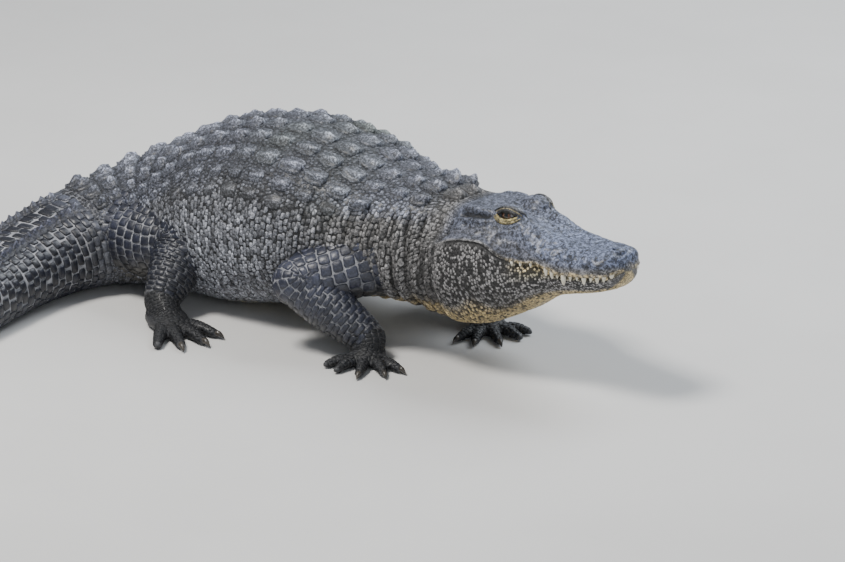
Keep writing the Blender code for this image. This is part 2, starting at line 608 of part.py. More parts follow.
def build_head(home, materials):
    """Skull and upper jaw with eye mounds, lids, nostrils, ear slits and teeth, then the eyes in them."""
    hide = materials["head_hide"]
    head = loft("head", head_rings("upper"), hide, home)
    forward, left, up = axes_at(SKULL_REAR)
    nose = head_point(NOSTRIL["station"], 0, -0.056)
    joined = [ellipsoid("nose", nose, NOSTRIL["mound"], (forward, left, up), hide, home)]
    cuts = []
    for side in (-1, 1):
        centre = head_point(EYE["station"] + 0.004, side * (EYE["out"] - 0.005), EYE["height"])
        joined.append(ellipsoid("mound", centre, EYE["mound"], (forward, left, up), hide, home, 12, 8))
        joined += [tooth(s, length, side, hide, home) for s, length in TOOTH_ROWS]
        ball = head_point(EYE["station"], side * EYE["out"], EYE["height"])
        grown = EYE["radius"] + GAP
        cuts.append(ellipsoid("socket", ball, (grown,) * 3, (forward, left, up), hide, home, 14, 10))
        outward = (left * side + up * 0.25 + forward * 0.15).normalized()
        long_axis = (forward - outward * forward.dot(outward)).normalized()
        tall_axis = outward.cross(long_axis)
        opening = ball + outward * EYE["radius"]
        sizes = (EYE_OPENING["long"], EYE_OPENING["deep"], EYE_OPENING["tall"])
        cuts.append(ellipsoid("opening", opening, sizes, (long_axis, outward, tall_axis), hide, home, 12, 6))
        slit = head_point(NOSTRIL["station"], side * NOSTRIL["out"], -0.0485)
        cuts.append(ellipsoid("slit", slit, NOSTRIL["slit"], (forward, left, up), hide, home, 8, 6))
        ear = head_point(EAR["station"], side * EAR["out"], EAR["height"])
        cuts.append(ellipsoid("ear", ear, EAR["size"], (forward, left, up), hide, home, 12, 6))
    apply_boolean(head, "UNION", joined)
    cut_with(head, cuts)
    eyes = []
    for side, name in ((-1, "eye_right"), (1, "eye_left")):
        ball = head_point(EYE["station"], side * EYE["out"], EYE["height"])
        eyes.append(ellipsoid(name, ball, (EYE["radius"],) * 3, (forward, left, up), materials["eye"], home, 14, 10))
    return head, eyes


def build_leg(name, leg, home, materials, body_makers):
    """Upper leg, lower leg and foot, each trimmed by what it grows from."""
    hide = materials["hide"]
    upper_name, lower_name, foot_name = (
        ("upper_arm", "forearm", "hand") if leg["fore"] else ("thigh", "shank", "foot")
    )
    side = "right" if leg["side"] < 0 else "left"

    def upper_copy():
        return loft("upper_copy", leg_segment(leg, "upper", GAP), hide, home)

    def lower_copy():
        return loft("lower_copy", leg_segment(leg, "lower", GAP), hide, home)

    upper = loft(f"{upper_name}_{side}", leg_segment(leg, "upper"), hide, home)
    cut_with(upper, [make() for make in body_makers])
    lower = loft(f"{lower_name}_{side}", leg_segment(leg, "lower"), hide, home)
    cut_with(lower, [upper_copy()])
    cut_with(lower, [floor_block(home), *[make() for make in body_makers]])
    foot, pieces = foot_pieces(f"{foot_name}_{side}", leg, hide, home)
    apply_boolean(foot, "UNION", pieces)
    cut_with(foot, [lower_copy()])
    cut_with(foot, [floor_block(home), upper_copy()])
    return [upper, lower, foot]


def main():
    clear_scene()
    home = make_collection("american_alligator")
    materials = {name: make_material(name) for name in COLOURS}
    hide = materials["hide"]

    build_head(home, materials)
    loft("lower_jaw", head_rings("lower"), materials["jaw_hide"], home)
    neck = body_length("neck", HEAD_END, NECK_END, 0.030, hide, home)
    apply_boolean(neck, "UNION", back_plates(HEAD_END, NECK_END, hide, home))
    torso = body_length("torso", NECK_END, TORSO_END, 0.040, hide, home)
    apply_boolean(torso, "UNION", back_plates(NECK_END, TORSO_END, hide, home))
    cut_with(torso, [floor_block(home)])
    first = TORSO_END
    for i, last in enumerate(TAIL_ENDS):
        length = body_length(f"tail_{i + 1}", first, last, 0.040, hide, home, skip=1 if i == 0 else 2)
        apply_boolean(length, "UNION", back_plates(first, last, hide, home))
        cut_with(length, [floor_block(home)])
        first = last

    def grown_neck():
        return body_length("neck_copy", HEAD_END, NECK_END, 0.030, hide, home, GAP)

    def grown_torso():
        return body_length("torso_copy", NECK_END, TORSO_END, 0.040, hide, home, GAP)

    def grown_tail():
        return body_length("tail_copy", TORSO_END, TAIL_ENDS[0], 0.040, hide, home, GAP)

    for name, leg in LEGS.items():
        makers = [grown_neck, grown_torso] if leg["fore"] else [grown_torso, grown_tail]
        build_leg(name, leg, home, materials, makers)
    for item in home.objects:
        item.data.shade_smooth()
        item.data.set_sharp_from_angle(angle=math.radians(50))


main()
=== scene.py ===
import json
import math
import bmesh
import bpy
import numpy as np
from mathutils import Matrix, Vector, noise
from mathutils.bvhtree import BVHTree
from mathutils.kdtree import KDTree

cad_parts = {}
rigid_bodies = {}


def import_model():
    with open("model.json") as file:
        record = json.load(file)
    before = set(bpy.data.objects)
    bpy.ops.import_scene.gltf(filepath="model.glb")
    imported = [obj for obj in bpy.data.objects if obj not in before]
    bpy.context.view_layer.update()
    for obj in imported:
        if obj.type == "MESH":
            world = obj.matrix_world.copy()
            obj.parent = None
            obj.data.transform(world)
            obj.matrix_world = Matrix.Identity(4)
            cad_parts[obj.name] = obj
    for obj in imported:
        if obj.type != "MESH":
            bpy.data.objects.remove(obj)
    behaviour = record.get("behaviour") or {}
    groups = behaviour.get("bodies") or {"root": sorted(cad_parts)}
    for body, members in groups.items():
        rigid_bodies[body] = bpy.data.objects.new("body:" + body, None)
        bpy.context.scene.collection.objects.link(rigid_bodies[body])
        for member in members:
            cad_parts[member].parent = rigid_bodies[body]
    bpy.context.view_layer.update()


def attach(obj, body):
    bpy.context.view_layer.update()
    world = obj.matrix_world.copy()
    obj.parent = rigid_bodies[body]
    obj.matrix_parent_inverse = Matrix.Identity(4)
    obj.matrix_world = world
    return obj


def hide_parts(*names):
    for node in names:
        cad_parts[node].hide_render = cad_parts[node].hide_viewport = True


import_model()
print("frame loaded")

# Station along the spine, heading in degrees seen from above
headingTable = (
    (0.00, -2), (0.38, -2), (0.47, -1), (0.58, 0), (0.75, 0), (0.95, 6), (1.05, 17), (1.15, 35),
    (1.25, 57), (1.35, 78), (1.45, 94), (1.60, 106), (1.80, 105), (2.00, 87), (2.25, 50), (2.50, 16),
    (2.74, -8),
)
pitchTable = (
    (0.00, 5.5), (0.38, 5.5), (0.47, -2), (0.58, -6), (0.70, -3), (0.80, 4), (0.95, 9), (1.10, 13),
    (1.20, 12), (1.30, 9), (1.40, 6), (1.60, 4), (2.74, 1),
)
# Station, back height, belly height, half width, share of depth below the widest line,
# roundness of back and belly
trunkTable = (
    (0.38, 0.318, 0.084, 0.130, 0.44, 2.2, 2.2),
    (0.47, 0.323, 0.080, 0.136, 0.45, 2.2, 2.2),
    (0.58, 0.323, 0.074, 0.160, 0.45, 2.2, 2.2),
    (0.70, 0.354, 0.048, 0.195, 0.43, 2.2, 2.3),
    (0.80, 0.368, 0.018, 0.214, 0.42, 2.2, 2.4),
    (0.95, 0.342, -0.004, 0.218, 0.42, 2.2, 2.6),
    (1.10, 0.270, -0.005, 0.196, 0.43, 2.2, 2.6),
    (1.20, 0.222, -0.004, 0.166, 0.44, 2.3, 2.5),
    (1.30, 0.186, -0.002, 0.138, 0.46, 2.3, 2.4),
    (1.40, 0.161, -0.003, 0.114, 0.46, 2.4, 2.5),
    (1.50, 0.144, -0.004, 0.097, 0.46, 2.4, 2.5),
    (1.75, 0.116, -0.004, 0.070, 0.46, 2.4, 2.5),
    (2.05, 0.091, -0.003, 0.045, 0.46, 2.2, 2.4),
    (2.35, 0.064, -0.003, 0.027, 0.46, 2.0, 2.2),
    (2.60, 0.042, -0.002, 0.014, 0.46, 2.0, 2.0),
    (2.74, 0.022, -0.001, 0.006, 0.46, 2.0, 2.0),
)
# Station, crown z, brow y z, cheek y z, lip y z, jaw y z, lower edge y z, throat z
headTable = (
    (0.014, -0.068, 0.008, -0.070, 0.013, -0.077, 0.014, -0.087, 0.012, -0.092, 0.007, -0.096, -0.097),
    (0.019, -0.060, 0.021, -0.062, 0.032, -0.072, 0.034, -0.089, 0.027, -0.101, 0.015, -0.108, -0.110),
    (0.032, -0.054, 0.033, -0.056, 0.050, -0.071, 0.052, -0.093, 0.040, -0.110, 0.024, -0.120, -0.123),
    (0.056, -0.053, 0.039, -0.055, 0.060, -0.071, 0.063, -0.095, 0.048, -0.114, 0.030, -0.128, -0.131),
    (0.085, -0.052, 0.040, -0.053, 0.065, -0.072, 0.069, -0.096, 0.056, -0.117, 0.034, -0.134, -0.139),
    (0.120, -0.048, 0.040, -0.048, 0.068, -0.072, 0.074, -0.097, 0.062, -0.119, 0.038, -0.139, -0.145),
    (0.150, -0.044, 0.041, -0.043, 0.071, -0.067, 0.077, -0.088, 0.067, -0.119, 0.042, -0.143, -0.151),
    (0.180, -0.037, 0.042, -0.034, 0.073, -0.061, 0.081, -0.080, 0.075, -0.121, 0.048, -0.150, -0.160),
    (0.215, -0.024, 0.044, -0.018, 0.076, -0.055, 0.089, -0.083, 0.089, -0.128, 0.055, -0.164, -0.176),
    (0.250, -0.010, 0.047, -0.005, 0.081, -0.047, 0.099, -0.073, 0.101, -0.133, 0.062, -0.183, -0.196),
    (0.285, -0.004, 0.051, -0.002, 0.087, -0.035, 0.111, -0.047, 0.116, -0.129, 0.070, -0.199, -0.211),
    (0.320, -0.001, 0.055, -0.001, 0.092, -0.033, 0.119, -0.045, 0.127, -0.126, 0.078, -0.210, -0.223),
    (0.350, 0.000, 0.058, -0.002, 0.096, -0.036, 0.125, -0.049, 0.132, -0.128, 0.082, -0.215, -0.229),
    (0.380, 0.001, 0.057, -0.006, 0.099, -0.044, 0.127, -0.060, 0.133, -0.133, 0.084, -0.218, -0.233),
)
body = {"length": 2.74, "snoutTip": 0.014, "skullRear": 0.36, "skullTop": 0.312, "headEnd": 0.38,
        "blendEnd": 0.49, "bellyStation": 0.98, "lipShare": 8 / 14, "lipInset": 0.0085, "insetEnd": 0.27}


def curve(rows, where):
    table = np.asarray(rows, float)
    where = np.clip(np.atleast_1d(np.asarray(where, float)), table[0, 0], table[-1, 0])
    x, y = table[:, 0], table[:, 1:]
    slope = np.diff(y, axis=0) / np.diff(x)[:, None]
    both, total = slope[:-1] * slope[1:], slope[:-1] + slope[1:]
    tangent = np.zeros_like(y)
    tangent[0], tangent[-1] = slope[0], slope[-1]
    tangent[1:-1] = np.where(both > 0, 2 * both / np.where(both > 0, total, 1), 0)
    i = np.clip(np.searchsorted(x, where) - 1, 0, len(x) - 2)
    h = (x[i + 1] - x[i])[:, None]
    t = ((where - x[i]) / h[:, 0])[:, None]
    return ((1 + 2 * t) * (1 - t) ** 2 * y[i] + t * (1 - t) ** 2 * h * tangent[i]
            + t * t * (3 - 2 * t) * y[i + 1] + t * t * (t - 1) * h * tangent[i + 1])


def ease(low, high, value):
    t = np.clip((np.asarray(value, float) - low) / (high - low), 0, 1)
    return t * t * (3 - 2 * t)


def hump(middle, reach, value):
    return np.exp(-((np.asarray(value, float) - middle) / reach) ** 2)


def fall(low, high, value):
    return 1 - ease(low, high, value)


def band(value, low, lowTo, high, highTo):
    # rises from low to lowTo, and falls again from high to highTo
    return ease(low, lowTo, value) * fall(high, highTo, value)


def tabled(value, where):
    # a plain number, or a table of (place, value) rows
    return value if np.isscalar(value) else float(np.interp(where, *zip(*value)))


def inScene(name, data):
    made = bpy.data.objects.new(name, data)
    bpy.context.scene.collection.objects.link(made)
    return made


def fromShape(name, shape):
    mesh = bpy.data.meshes.new(name)
    shape.to_mesh(mesh)
    shape.free()
    return inScene(name, mesh)


def placesOf(obj):
    return np.array([v.co for v in obj.data.vertices])


def triangleCount(obj):
    return sum(len(p.vertices) - 2 for p in obj.data.polygons)


def smoothed(obj):
    for polygon in obj.data.polygons:
        polygon.use_smooth = True
    return obj


def store(obj, label, values):
    # one number or one vector for each point of the mesh
    values = np.ascontiguousarray(values, np.float32)
    kind, field = ("FLOAT_VECTOR", "vector") if values.ndim > 1 else ("FLOAT", "value")
    obj.data.attributes.new(label, kind, "POINT").data.foreach_set(field, values.ravel())


spineStations = np.linspace(0, body["length"], 549)
spineTurns = np.radians(curve(headingTable, spineStations)[:, 0])
middleTurns = (spineTurns[1:] + spineTurns[:-1]) / 2
spineSteps = np.diff(spineStations)[:, None] * -np.column_stack([np.cos(middleTurns), np.sin(middleTurns)])
spinePlan = np.vstack([[0, 0], np.cumsum(spineSteps, axis=0)])
spinePlan -= [np.interp(body["bellyStation"], spineStations, spinePlan[:, k]) for k in (0, 1)]


def planAt(stations):
    x, y = (np.interp(stations, spineStations, spinePlan[:, k]) for k in (0, 1))
    return np.column_stack([x, y, np.zeros(len(stations))])


def axesAt(stations):
    turn, lift = (np.radians(curve(table, stations)[:, 0]) for table in (headingTable, pitchTable))
    forward = np.column_stack([np.cos(lift) * np.cos(turn), np.cos(lift) * np.sin(turn), np.sin(lift)])
    left = np.column_stack([-np.sin(turn), np.cos(turn), 0 * turn])
    return forward, left, np.cross(forward, left)


headForward, headLeft, headUp = (axis[0] for axis in axesAt(np.array([body["skullRear"]])))
headAxes = np.array([headForward, headLeft, headUp])
headPivot = planAt(np.array([body["skullRear"]]))[0] + [0, 0, body["skullTop"]]


def headPoint(station, out, height):
    station, out, height = np.broadcast_arrays(*(np.asarray(v, float) for v in (station, out, height)))
    return (headPivot + (body["skullRear"] - station)[..., None] * headForward
            + out[..., None] * headLeft + height[..., None] * headUp)


def lipInset(stations):
    lip = curve(headTable, stations)[:, 5]
    return body["lipInset"] * np.clip((body["insetEnd"] - stations) / 0.08, 0, 1) * np.minimum(1, lip / 0.04)


def catmullRom(a, b, c, d, u):
    return 0.5 * (2 * b + (c - a) * u + (2 * a - 5 * b + 4 * c - d) * u * u + (3 * b - a - 3 * c + d) * u ** 3)


def throughFour(points, where):
    # a curve through four points per row; where runs from 0 to 3
    first = points[:, 1] * [-1, 1] if np.allclose(points[:, 0, 0], 0) else 2 * points[:, 0] - points[:, 1]
    last = points[:, 2] * [-1, 1] if np.allclose(points[:, 3, 0], 0) else 2 * points[:, 3] - points[:, 2]
    p = np.concatenate([first[:, None], points, last[:, None]], axis=1)
    i = np.minimum(where.astype(int), 2)
    rows = np.arange(len(points))
    return catmullRom(*(p[rows, i + k] for k in range(4)), (where - i)[:, None])


def headSection(stations, shares):
    # (out, height) at matching stations and shares of the way from crown to throat
    v = curve(headTable, stations)
    zero, lip = 0 * v[:, 0], body["lipShare"]
    upper = ((zero, v[:, 0]), (v[:, 1], v[:, 2]), (v[:, 3], v[:, 4]), (v[:, 5], v[:, 6]))
    lower = ((v[:, 5] - lipInset(stations), v[:, 6]), (v[:, 7], v[:, 8]), (v[:, 9], v[:, 10]), (zero, v[:, 11]))
    upper, lower = (np.stack([np.column_stack(pair) for pair in half], axis=1) for half in (upper, lower))
    above = throughFour(upper, np.clip(shares / lip, 0, 1) * 3)
    below = throughFour(lower, np.clip((shares - lip) / (1 - lip), 0, 1) * 3)
    return np.where((shares <= lip)[:, None], above, below)


def surface(stations, shares, side, sink):
    # points on head, neck, trunk and tail; shares run from 0 on the back to 1 under the belly
    back, belly, half, share, topPower, lowPower = curve(trunkTable, stations).T
    middle = belly + share * (back - belly)
    angle = np.pi * shares
    upper = shares <= 0.5
    power = np.where(upper, topPower, lowPower)
    reach = np.where(upper, back - middle, middle - belly) - sink
    out = (half - sink) * np.abs(np.sin(angle)) ** (2 / power)
    rise = reach * np.sign(np.cos(angle)) * np.abs(np.cos(angle)) ** (2 / power)
    forward, left, up = axesAt(stations)
    points = planAt(stations) + left * (side * out)[:, None] + up * rise[:, None]
    points[:, 2] += middle
    near = stations < body["blendEnd"]
    if near.any():
        # past the skull, its last section rides on the spine and blends into the neck's own
        s = stations[near]
        section = headSection(np.minimum(s, body["headEnd"]), shares[near])
        ahead = headPoint(s, side * section[:, 0], section[:, 1])
        t = ease(body["headEnd"], body["blendEnd"], s)[:, None]
        past = headPivot + (body["skullRear"] - s)[:, None] * headForward
        turned = past + left[near] * (side * section[:, 0])[:, None] + up[near] * section[:, 1:]
        points[near] = np.where((s <= body["headEnd"])[:, None], ahead, turned * (1 - t) + points[near] * t)
    return points


def meshObject(name, points, faces):
    mesh = bpy.data.meshes.new(name)
    mesh.from_pydata([tuple(p) for p in np.asarray(points, float).tolist()], [], faces)
    return inScene(name, mesh)


def closedUp(obj, merge=1e-5):
    shape = bmesh.new()
    shape.from_mesh(obj.data)
    bmesh.ops.remove_doubles(shape, verts=shape.verts, dist=merge)
    bmesh.ops.dissolve_degenerate(shape, edges=shape.edges, dist=1e-7)
    bmesh.ops.recalc_face_normals(shape, faces=shape.faces)
    shape.to_mesh(obj.data)
    shape.free()
    return obj


def flattened(obj):
    # the evaluated mesh replaces the object's own and its modifiers go
    graph = bpy.context.evaluated_depsgraph_get()
    mesh = bpy.data.meshes.new_from_object(obj.evaluated_get(graph))
    obj.modifiers.clear()
    obj.data = mesh
    return obj


def ringLoft(name, rings):
    rings = np.asarray(rings, float)
    rows, count = rings.shape[:2]
    a = (np.arange(rows - 1)[:, None] * count + np.arange(count)[None]).ravel()
    b = (np.arange(rows - 1)[:, None] * count + (np.arange(count)[None] + 1) % count).ravel()
    faces = np.column_stack([a, b, b + count, a + count]).tolist()
    faces += [list(range(count - 1, -1, -1)), list(range((rows - 1) * count, rows * count))]
    return closedUp(meshObject(name, rings.reshape(-1, 3), faces))


def noiseAt(points, scale, seed=0.0):
    shift = Vector((seed, seed * 0.7, -seed))
    return np.array([noise.noise(Vector(p) * scale + shift) for p in points.tolist()])


# The skin of head, neck, trunk and tail on one grid of stations and shares
grid = {"half": 64, "headStep": 0.0021, "trunkStep": 0.0066, "tailStep": 0.0115, "tailFrom": 1.34,
        "sink": 0.0010}
creases = {"neck": 0.0085, "flank": 0.0016, "jowl": 0.0062, "throat": 0.0030, "fine": 0.0012, "hide": 0.0016,
           "snoutRidge": 0.0030, "browHollow": 0.0030, "cheek": 0.0016, "mound": 0.0011}
eye = {"station": 0.262, "out": 0.041, "height": -0.008, "ball": 0.0190, "back": 0.0022,
       "mound": (0.036, 0.0235, 0.0215), "moundBack": 0.004, "moundIn": 0.005, "moundDepth": 0.6}
nostril = {"station": 0.038, "out": 0.0105, "height": -0.0485, "slit": (0.0060, 0.0028, 0.005), "swing": 0.45,
           "mound": (0.017, 0.019, 0.008), "moundHeight": -0.056, "moundDepth": 0.5}
ear = {"stations": (0.294, 0.325, 0.354), "shares": (0.250, 0.244, 0.248), "sizes": (0.0012, 0.0036, 0.0012),
       "sink": 0.0045}
# Height, share round the head, reach, and the stations where it starts, is full, ends and is gone
headRelief = {
    "pouch": (0.0022, 0.86, 0.04, 0.17, 0.24, 0.33, 0.38),
    "mouth": (-0.0045, body["lipShare"] + 0.0015, 0.0042, 0.014, 0.03, 0.320, 0.352),
    "upperLip": (0.0016, body["lipShare"] - 0.030, 0.014, 0.016, 0.04, 0.25, 0.31),
    "lowerLip": (0.0012, body["lipShare"] + 0.055, 0.020, 0.016, 0.04, 0.25, 0.31),
    "skullEdge": (0.0062, 0.196, 0.024, 0.280, 0.31, 0.362, 0.38),
    "earGroove": (-0.0080, 0.246, 0.018, 0.284, 0.300, 0.352, 0.366),
    "earFlap": (0.0046, 0.290, 0.020, 0.282, 0.300, 0.352, 0.368),
}
# Folds behind the jowl and down the neck: station, reach, depth
neckArcs = (
    (0.386, 0.0050, 1.0), (0.404, 0.0050, 0.8), (0.424, 0.0055, 0.6),
    (0.447, 0.0055, 0.7), (0.476, 0.006, 0.5), (0.512, 0.006, 0.5),
)


def bulge(points, centre, sizes, depth):
    # pushes what lies in an ellipsoid out to its face, seen from a point below its middle
    local = (points - centre) @ headAxes.T / sizes
    base = np.array([0, 0, -depth])
    ray = local - base
    far = np.linalg.norm(ray, axis=1)
    way = ray / np.maximum(far, 1e-9)[:, None]
    along = way @ base
    reach = -along + np.sqrt(np.maximum(along ** 2 - base @ base + 1, 0))
    inside = (far < reach) & (local[:, 2] > -depth)
    pushed = base + way * np.maximum(far, reach)[:, None]
    return np.where(inside[:, None], centre + (pushed * sizes) @ headAxes, points)


def foldMask(s, t, drift):
    found = 0 * s
    for where, reach, depth in neckArcs:
        bend = where + 0.050 * (t - 0.5) + 0.030 * (t - 0.5) ** 2 + 0.012 * drift
        found = np.maximum(found, depth * hump(bend, reach, s))
    return found * band(t, 0.26, 0.40, 0.88, 0.98)


def neckFolds(s, t, drift):
    # -1 in a crease, up to 0.5 on the swell beside it
    long = np.sin(2 * np.pi * (s / 0.034 + 0.55 * drift + 0.45 * t))
    waves = long + 0.45 * np.sin(2 * np.pi * (s / 0.015 + 0.9 * drift))
    where = band(s, 0.385, 0.43, 0.62, 0.74) * band(t, 0.20, 0.34, 0.86, 0.96)
    return where * np.where(waves < 0, waves / 1.45, waves / 2.9)


def skinGrid():
    # points and shares round the body: down the left half, then up the right one
    lip, half = body["lipShare"], grid["half"]
    lips = lip + np.array([-0.006, -0.0015, 0.0015, 0.008])
    headShares = np.concatenate([np.linspace(0, lip - 0.014, 40), lips, np.linspace(lip + 0.018, 1, half - 44)])
    stations = np.concatenate([
        body["snoutTip"] + np.array([0, 0.0004, 0.0012, 0.0025, 0.004]),
        np.arange(0.020, body["headEnd"], grid["headStep"]),
        np.arange(body["headEnd"], grid["tailFrom"], grid["trunkStep"]),
        np.arange(grid["tailFrom"], body["length"], grid["tailStep"]), [body["length"]],
    ])
    weight = ease(body["headEnd"] - 0.02, body["blendEnd"] + 0.05, stations)[:, None]
    shares = headShares * (1 - weight) + np.linspace(0, 1, half) * weight
    flat = np.repeat(stations, half), shares.ravel()
    left, right = (surface(*flat, side, grid["sink"]).reshape(len(stations), half, 3) for side in (1.0, -1.0))
    points = np.concatenate([left, right[:, half - 2:0:-1]], axis=1)
    return stations, points, np.concatenate([shares, shares[:, half - 2:0:-1]], axis=1)


def wrinkled(stations, points, across):
    rows, count = points.shape[:2]
    s, t, flat = np.repeat(stations, count), across.ravel(), points.reshape(-1, 3)
    around = np.roll(points, -1, axis=1) - np.roll(points, 1, axis=1)
    normal = np.cross(around, np.gradient(points, axis=0)).reshape(-1, 3)
    normal /= np.maximum(np.linalg.norm(normal, axis=1), 1e-12)[:, None]
    centre = points.mean(axis=1, keepdims=True).repeat(count, axis=1).reshape(-1, 3)
    normal *= np.where(((flat - centre) * normal).sum(1) < 0, -1, 1)[:, None]
    drift, fine = noiseAt(flat, 9, 3.1), noiseAt(flat, 34, 8.4)
    flank = band(t, 0.20, 0.34, 0.86, 0.96)
    waves = np.sin(2 * np.pi * (s / 0.038 + 0.8 * drift - 0.8 * t))
    waves += 0.7 * np.sin(2 * np.pi * (t * 13 + 1.3 * drift))
    lift = creases["neck"] * neckFolds(s, t, drift)
    lift += creases["flank"] * band(s, 0.62, 0.74, 1.30, 1.42) * flank * waves
    lift += creases["fine"] * fine * ease(0.36, 0.46, s) * (0.4 + 0.6 * flank)
    lift -= creases["jowl"] * foldMask(s, t, drift)
    # the fold that parts the jaw from the throat climbs towards its rear end
    throat = hump(0.80 - 0.10 * ease(0.28, 0.36, s), 0.016, t)
    lift -= creases["throat"] * throat * band(s, 0.15, 0.21, 0.33, 0.37)
    for height, middle, reach, *stretch in headRelief.values():
        lift += height * hump(middle, reach, t) * band(s, *stretch)
    lift += creases["snoutRidge"] * hump(0.14, 0.035, t) * hump(0.205, 0.030, s)
    lift -= creases["browHollow"] * hump(0.00, 0.060, t) * hump(0.255, 0.040, s)
    lift += creases["cheek"] * np.sin(t * 150 + 4 * drift) * hump(0.40, 0.06, t) * hump(0.345, 0.035, s)
    rough = 0.6 * fine + 0.9 * noiseAt(flat, 75, 1.7) - 1.6 * np.maximum(0, noiseAt(flat, 120, 6.2) - 0.1)
    lift += creases["hide"] * rough * fall(0.34, 0.40, s) * (1 - 0.6 * ease(0.50, 0.58, t))
    flat = flat + normal * lift[:, None]
    nose = headPoint(nostril["station"], 0, nostril["moundHeight"])
    flat = bulge(flat, nose, np.array(nostril["mound"]), nostril["moundDepth"])
    near, sizes = np.zeros(len(flat)), np.array(eye["mound"])
    for k in (-1, 1):
        middle = headPoint(eye["station"] + eye["moundBack"], k * (eye["out"] - eye["moundIn"]), eye["height"])
        flat = bulge(flat, middle, sizes, eye["moundDepth"])
        reach = np.linalg.norm((flat - middle) @ headAxes.T / sizes, axis=1)
        near = np.maximum(near, hump(1.12, 0.34, reach))
    # the foot of each mound runs out into the skull
    shape, near = flat.reshape(rows, count, 3), near.reshape(rows, count, 1)
    for _ in range(9):
        mean = (np.roll(shape, 1, axis=1) + np.roll(shape, -1, axis=1)) / 4
        mean[1:-1] += (shape[2:] + shape[:-2]) / 4
        shape = np.where(near > 0.02, shape + 0.55 * near * (mean - shape), shape)
    wrinkle = noiseAt(shape.reshape(-1, 3), 150, 9.0).reshape(rows, count, 1) * creases["mound"] * near
    shape = shape + wrinkle * normal.reshape(rows, count, 3)
    shape[:, :, 2] = np.maximum(shape[:, :, 2], 0.0)
    return shape


stations, plain, across = skinGrid()
bodyGrid = wrinkled(stations, plain, across)
trunkSkin = ringLoft("trunkSkin", bodyGrid)
print("trunk grid:", len(trunkSkin.data.polygons), "faces")

# Legs: (forward of the girdle, out from the midline, height) for each joint
legs = {
    "forelegRight": {"girdle": 0.58, "side": -1, "fore": True, "toesOut": 60, "root": (0.022, 0.082, 0.168),
                     "bend": (-0.075, 0.212, 0.132), "ankle": (0.066, 0.166, 0.040), "foot": (0.080, 0.186, 0)},
    "forelegLeft": {"girdle": 0.58, "side": 1, "fore": True, "toesOut": -34, "root": (0.022, 0.082, 0.168),
                    "bend": (-0.025, 0.195, 0.125), "ankle": (0.115, 0.112, 0.040), "foot": (0.142, 0.094, 0)},
    "hindlegRight": {"girdle": 1.24, "side": -1, "fore": False, "toesOut": 78, "root": (0.000, 0.070, 0.108),
                     "bend": (0.085, 0.212, 0.125), "ankle": (0.022, 0.285, 0.042), "foot": (0.026, 0.325, 0)},
    "hindlegLeft": {"girdle": 1.24, "side": 1, "fore": False, "toesOut": 45, "root": (0.000, 0.070, 0.105),
                    "bend": (0.085, 0.215, 0.110), "ankle": (0.010, 0.268, 0.042), "foot": (0.040, 0.300, 0)},
}
foreSizes = {"root": 0.067, "upper": 0.057, "bend": 0.048, "lower": 0.045, "ankle": 0.033,
             "palm": (0.040, 0.036, 0.019), "toes": (0.048, 0.060, 0.066, 0.058, 0.046), "spread": 27,
             "thick": 0.0105, "claws": 3, "claw": 0.019, "web": 0.36}
hindSizes = {"root": 0.080, "upper": 0.073, "bend": 0.055, "lower": 0.048, "ankle": 0.034,
             "palm": (0.062, 0.040, 0.021), "toes": (0.080, 0.098, 0.100, 0.088), "spread": 19,
             "thick": 0.0125, "claws": 3, "claw": 0.024, "web": 0.62}
legSkin = {"voxel": 0.0040, "smooth": 5, "blendReach": 0.016, "webFrom": 0.0030, "webTo": 0.0085}
upward = np.array([0, 0, 1.0])


def unit(v):
    return v / max(np.linalg.norm(v), 1e-12)


def splined(points, count):
    p = np.asarray(points, float)
    p = np.concatenate([[2 * p[0] - p[1]], p, [2 * p[-1] - p[-2]]])
    found = []
    for t in np.linspace(0, len(points) - 1, count):
        i = min(int(t), len(points) - 2)
        found.append(catmullRom(*p[i:i + 4], t - i))
    return np.array(found)


def limbRings(points, sizes, sides=20, steps=14, flat=1.0, domes=((0.97, 0.2), (0.85, 0.5), (0.55, 0.83))):
    # rings along a smooth path, with a dome of smaller ones at each end
    path, widths = splined(points, steps), splined([(w,) for w in sizes], steps)[:, 0]
    start, end = unit(path[0] - path[1]), unit(path[-1] - path[-2])
    rows = [(path[0] + start * widths[0] * d, widths[0] * w) for d, w in domes] + list(zip(path, widths))
    rows += [(path[-1] + end * widths[-1] * d, widths[-1] * w) for d, w in reversed(domes)]
    rings, side = [], None
    for i, (centre, width) in enumerate(rows):
        along = unit(rows[min(i + 1, len(rows) - 1)][0] - rows[max(i - 1, 0)][0])
        side = unit(np.cross(along, (0, 0, 1))) if side is None else unit(side - along * (side @ along))
        angles = 2 * np.pi * np.arange(sides) / sides
        across, rise = np.outer(np.cos(angles), side), np.outer(np.sin(angles), np.cross(side, along))
        rings.append(centre + across * width + rise * width * flat)
    return np.array(rings)


def levelAxes(leg, more=0):
    # forward and left at the girdle, turned by some more degrees
    turn = math.radians(curve(headingTable, leg["girdle"])[0, 0] + more)
    return np.array([math.cos(turn), math.sin(turn), 0]), np.array([-math.sin(turn), math.cos(turn), 0])


def legJoint(leg, part):
    forward, left = levelAxes(leg)
    ahead, out, height = leg[part]
    return planAt(np.array([leg["girdle"]]))[0] + forward * ahead + left * out * leg["side"] + [0, 0, height]


